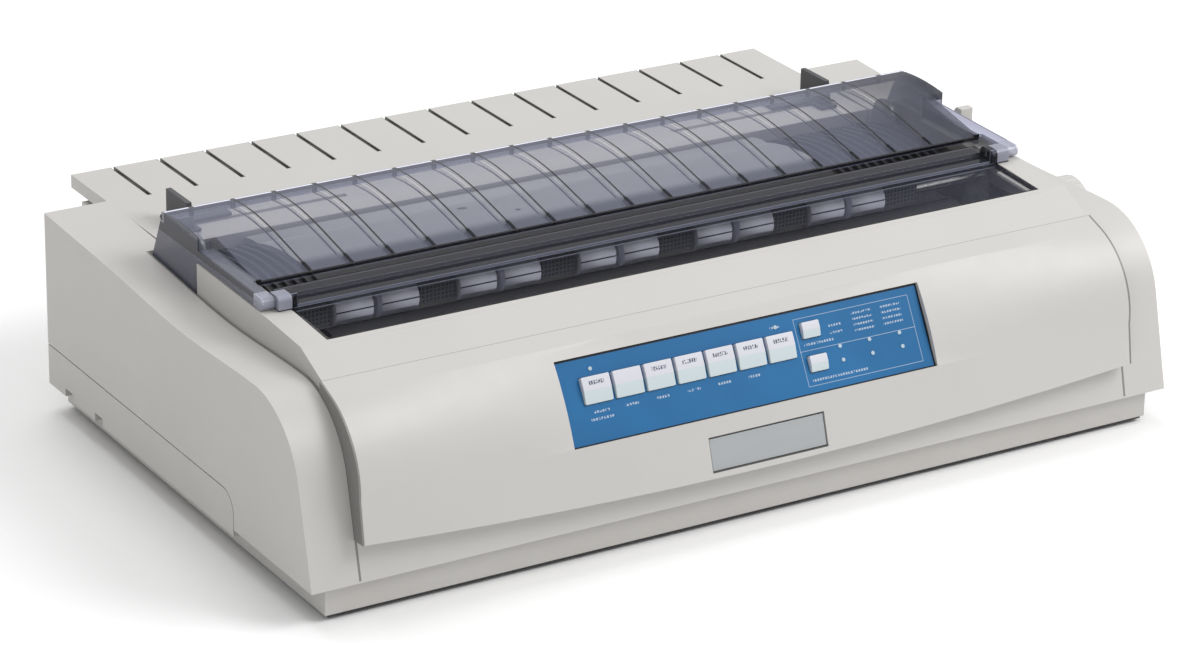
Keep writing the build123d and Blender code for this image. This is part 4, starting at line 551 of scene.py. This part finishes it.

# The hood. One moulding of the same smoked plastic: ribs under its roof every inch, a slit at each
# rib's front end, a thick rear edge painted with a highlight, and side arms that clip round the
# cover's bearings.
HOOD_REAR_Y, HOOD_FRONT_Y, HOOD_HALF, WALL_X = 101.0, 6.0, 245.8, 236.0
ROOF_LOW_Z, ROOF_REAR_Z = 134.5, 140.0
RIB_PITCH, RIB_LINE, RIB_CLEAR = 25.4, 0.55, 0.8
RIBS_END = 8.5 * RIB_PITCH
SLIT_HALF, SLIT_FRONT_Y, SLIT_REAR_Y = 1.3, HOOD_FRONT_Y + 1.4, HOOD_FRONT_Y + 10.8
HOOD_GREY, DEEP_GREY = (0.185, 0.197, 0.275), (0.055, 0.06, 0.09)
SHADED_WALL_GREY, LIT_WALL_LILAC = (0.15, 0.157, 0.2), (0.46, 0.47, 0.6)
EDGE_HIGHLIGHT, LINE_BLACK = (0.85, 0.86, 1.0), (0.008, 0.008, 0.012)
hood = smoked("smoked_hood", HOOD_GREY, 0.2, 0.35, 0.5)
x, y, z = hood.axes()
roof, from_rib = z > ROOF_LOW_Z, x.from_line(RIB_PITCH)
on_roof = (abs(x) < RIBS_END) * roof
rib = (from_rib < RIB_LINE) * (y > HOOD_FRONT_Y + 10) * on_roof
rib_side = from_rib.between(RIB_LINE + 0.01, RIB_CLEAR) * on_roof
slit = (from_rib < SLIT_HALF) * y.between(SLIT_FRONT_Y, SLIT_REAR_Y) * on_roof
# A painted shadow line along the roof's front edge.
front_edge_shadow = (y < HOOD_FRONT_Y + 1.3) * roof * (abs(x) < WALL_X + 0.5)
rear_edge = (y > HOOD_REAR_Y - 2.6) * (z > ROOF_REAR_Z)
rib_foot = rear_edge * (from_rib < 1.5)
# A painted highlight along the thick rear edge, broken at each rib's foot.
rear_highlight = rear_edge * (1.0 - rib_foot)
border = roof * (abs(x) > HOOD_HALF - 1.1) + (z > ROOF_REAR_Z + 1.0) * (y > HOOD_REAR_Y - 0.7)
dark = (rib + slit + front_edge_shadow + rib_foot + border * 0.7).maths("MINIMUM", 1.0)
wall = (z < ROOF_LOW_Z + 7.0) * (abs(x) > WALL_X)
# The right wall is painted pale as if lit and the left wall darker as if shaded: painted light and
# shade.
shaded_left_wall, lit_right_wall = wall * (x < 0.0), wall * (x > 0.0)
right_end, rearward = x.ramp(150.0, 225.0), y.ramp(55.0, 95.0)
walls_seen = shaded_left_wall * 0.4 + lit_right_wall * 0.25
seen = hood.alpha + rear_highlight * 0.7 + walls_seen + right_end * 0.18 + rearward * 0.12
hood.feed("Alpha", seen * (1.0 - rib_side * 0.9) + dark * 0.7)
grey = hood.mix(right_end, HOOD_GREY, DEEP_GREY)
walled = hood.mix(lit_right_wall, hood.mix(shaded_left_wall, grey, SHADED_WALL_GREY), LIT_WALL_LILAC)
marked = hood.mix(dark, hood.mix(rear_highlight, walled, EDGE_HIGHLIGHT), LINE_BLACK)
hood.feed("Base Color", hood.mix(hood.boss, marked, BOSS_HIGHLIGHT))
eased("hood", hood, "rear_hood", 0.3)

# The paper tray. A beige shelf that hooks on behind the hood, with slots open to the rear whose
# walls lie in shadow, and two dark fins that slide along it to the paper's width.
TRAY_SLOT_PITCH, TRAY_SLOT_HALF, TRAY_SLOT_Y = 29.8, 1.5, 193.5
tray = moulded("beige_tray", BEIGE, 0.44, drift=0.02)
x, y, z = tray.axes()
slot_wall = (x.from_line(TRAY_SLOT_PITCH) < TRAY_SLOT_HALF) * (y > TRAY_SLOT_Y)
tray.feed("Base Color", tray.mix(slot_wall, tray.colour, (0.11, 0.108, 0.104)))
eased("paper_separator", tray, "separator", 0.5)
fin = moulded("dark_fin", (0.07, 0.072, 0.08), 0.45, drift=0.15)
eased("left_paper_guide", fin, "guide_left", 0.4)
eased("right_paper_guide", fin, "guide_right", 0.4)

# The knob and the lever. Both are beige mouldings: the fluted knob is pressed on the platen's
# shaft, and the lever tilts in its slot in the right strip.
eased("platen_knob", beige, "platen_roller", 0.4)
eased("paper_lever", beige, "lever", 0.6)

# The studio. A plain pale floor, an even pale surround and two soft lights, the stronger one from
# the right and in front.
floor_paint = Finish("pale_floor", (0.93, 0.93, 0.93), 0.7)
patchy = floor_paint.noise(400.0)
floor_paint.feed("Base Color", floor_paint.mix(patchy, (0.92, 0.92, 0.92), (0.94, 0.94, 0.94)))
FLOOR_REACH = 7.0
corners = [(FLOOR_REACH * a, FLOOR_REACH * b, 0.0) for a, b in ((-1, -1), (1, -1), (1, 1), (-1, 1))]
floor_mesh = bpy.data.meshes.new("floor")
floor_mesh.from_pydata(corners, [], [(0, 1, 2, 3)])
floor_mesh.materials.append(floor_paint.material)
floor = bpy.data.objects.new("floor", floor_mesh)
bpy.context.scene.collection.objects.link(floor)

world = bpy.data.worlds.new("studio")
bpy.context.scene.world = world
world.use_nodes = True
world.node_tree.nodes["Background"].inputs["Color"].default_value = (1.0, 1.0, 1.0, 1.0)
world.node_tree.nodes["Background"].inputs["Strength"].default_value = 0.62
bpy.context.scene.view_settings.view_transform = "Standard"


def soft_light(name, spot, size, power):
    """A square softbox at a spot in metres, aimed at the printer."""
    data = bpy.data.lights.new(name, "AREA")
    data.size = size
    data.energy = power
    lamp = bpy.data.objects.new(name, data)
    lamp.location = spot
    lamp.rotation_euler = (Vector((0, 0, 0.08)) - Vector(spot)).to_track_quat("-Z", "Y").to_euler()
    bpy.context.scene.collection.objects.link(lamp)


soft_light("key_light", (1.5, -1.2, 2.0), 1.5, 46)
soft_light("top_light", (-0.2, 0.9, 2.4), 1.5, 22)

# The camera stands 2.5 m off, in front of the case and to its left, looking down on it.
EYE = (-1222.17, -1940.91, 1031.77)
FORWARD = Vector((0.48351, 0.78359, -0.39014))
RIGHT = Vector((0.85521, -0.51791, 0.01968))
UP = Vector((0.18664, 0.34317, 0.92055))
LENS, SENSOR = 132.56, 36.0
camera_data = bpy.data.cameras.new("camera")
camera_data.sensor_width = SENSOR
camera_data.lens = LENS
camera_data.clip_start, camera_data.clip_end = 0.05, 50.0
camera = bpy.data.objects.new("camera", camera_data)
turn = Matrix((RIGHT, UP, -FORWARD)).transposed().to_4x4()
camera.matrix_world = Matrix.Translation(Vector(place(EYE))) @ turn
bpy.context.scene.collection.objects.link(camera)
bpy.context.scene.camera = camera
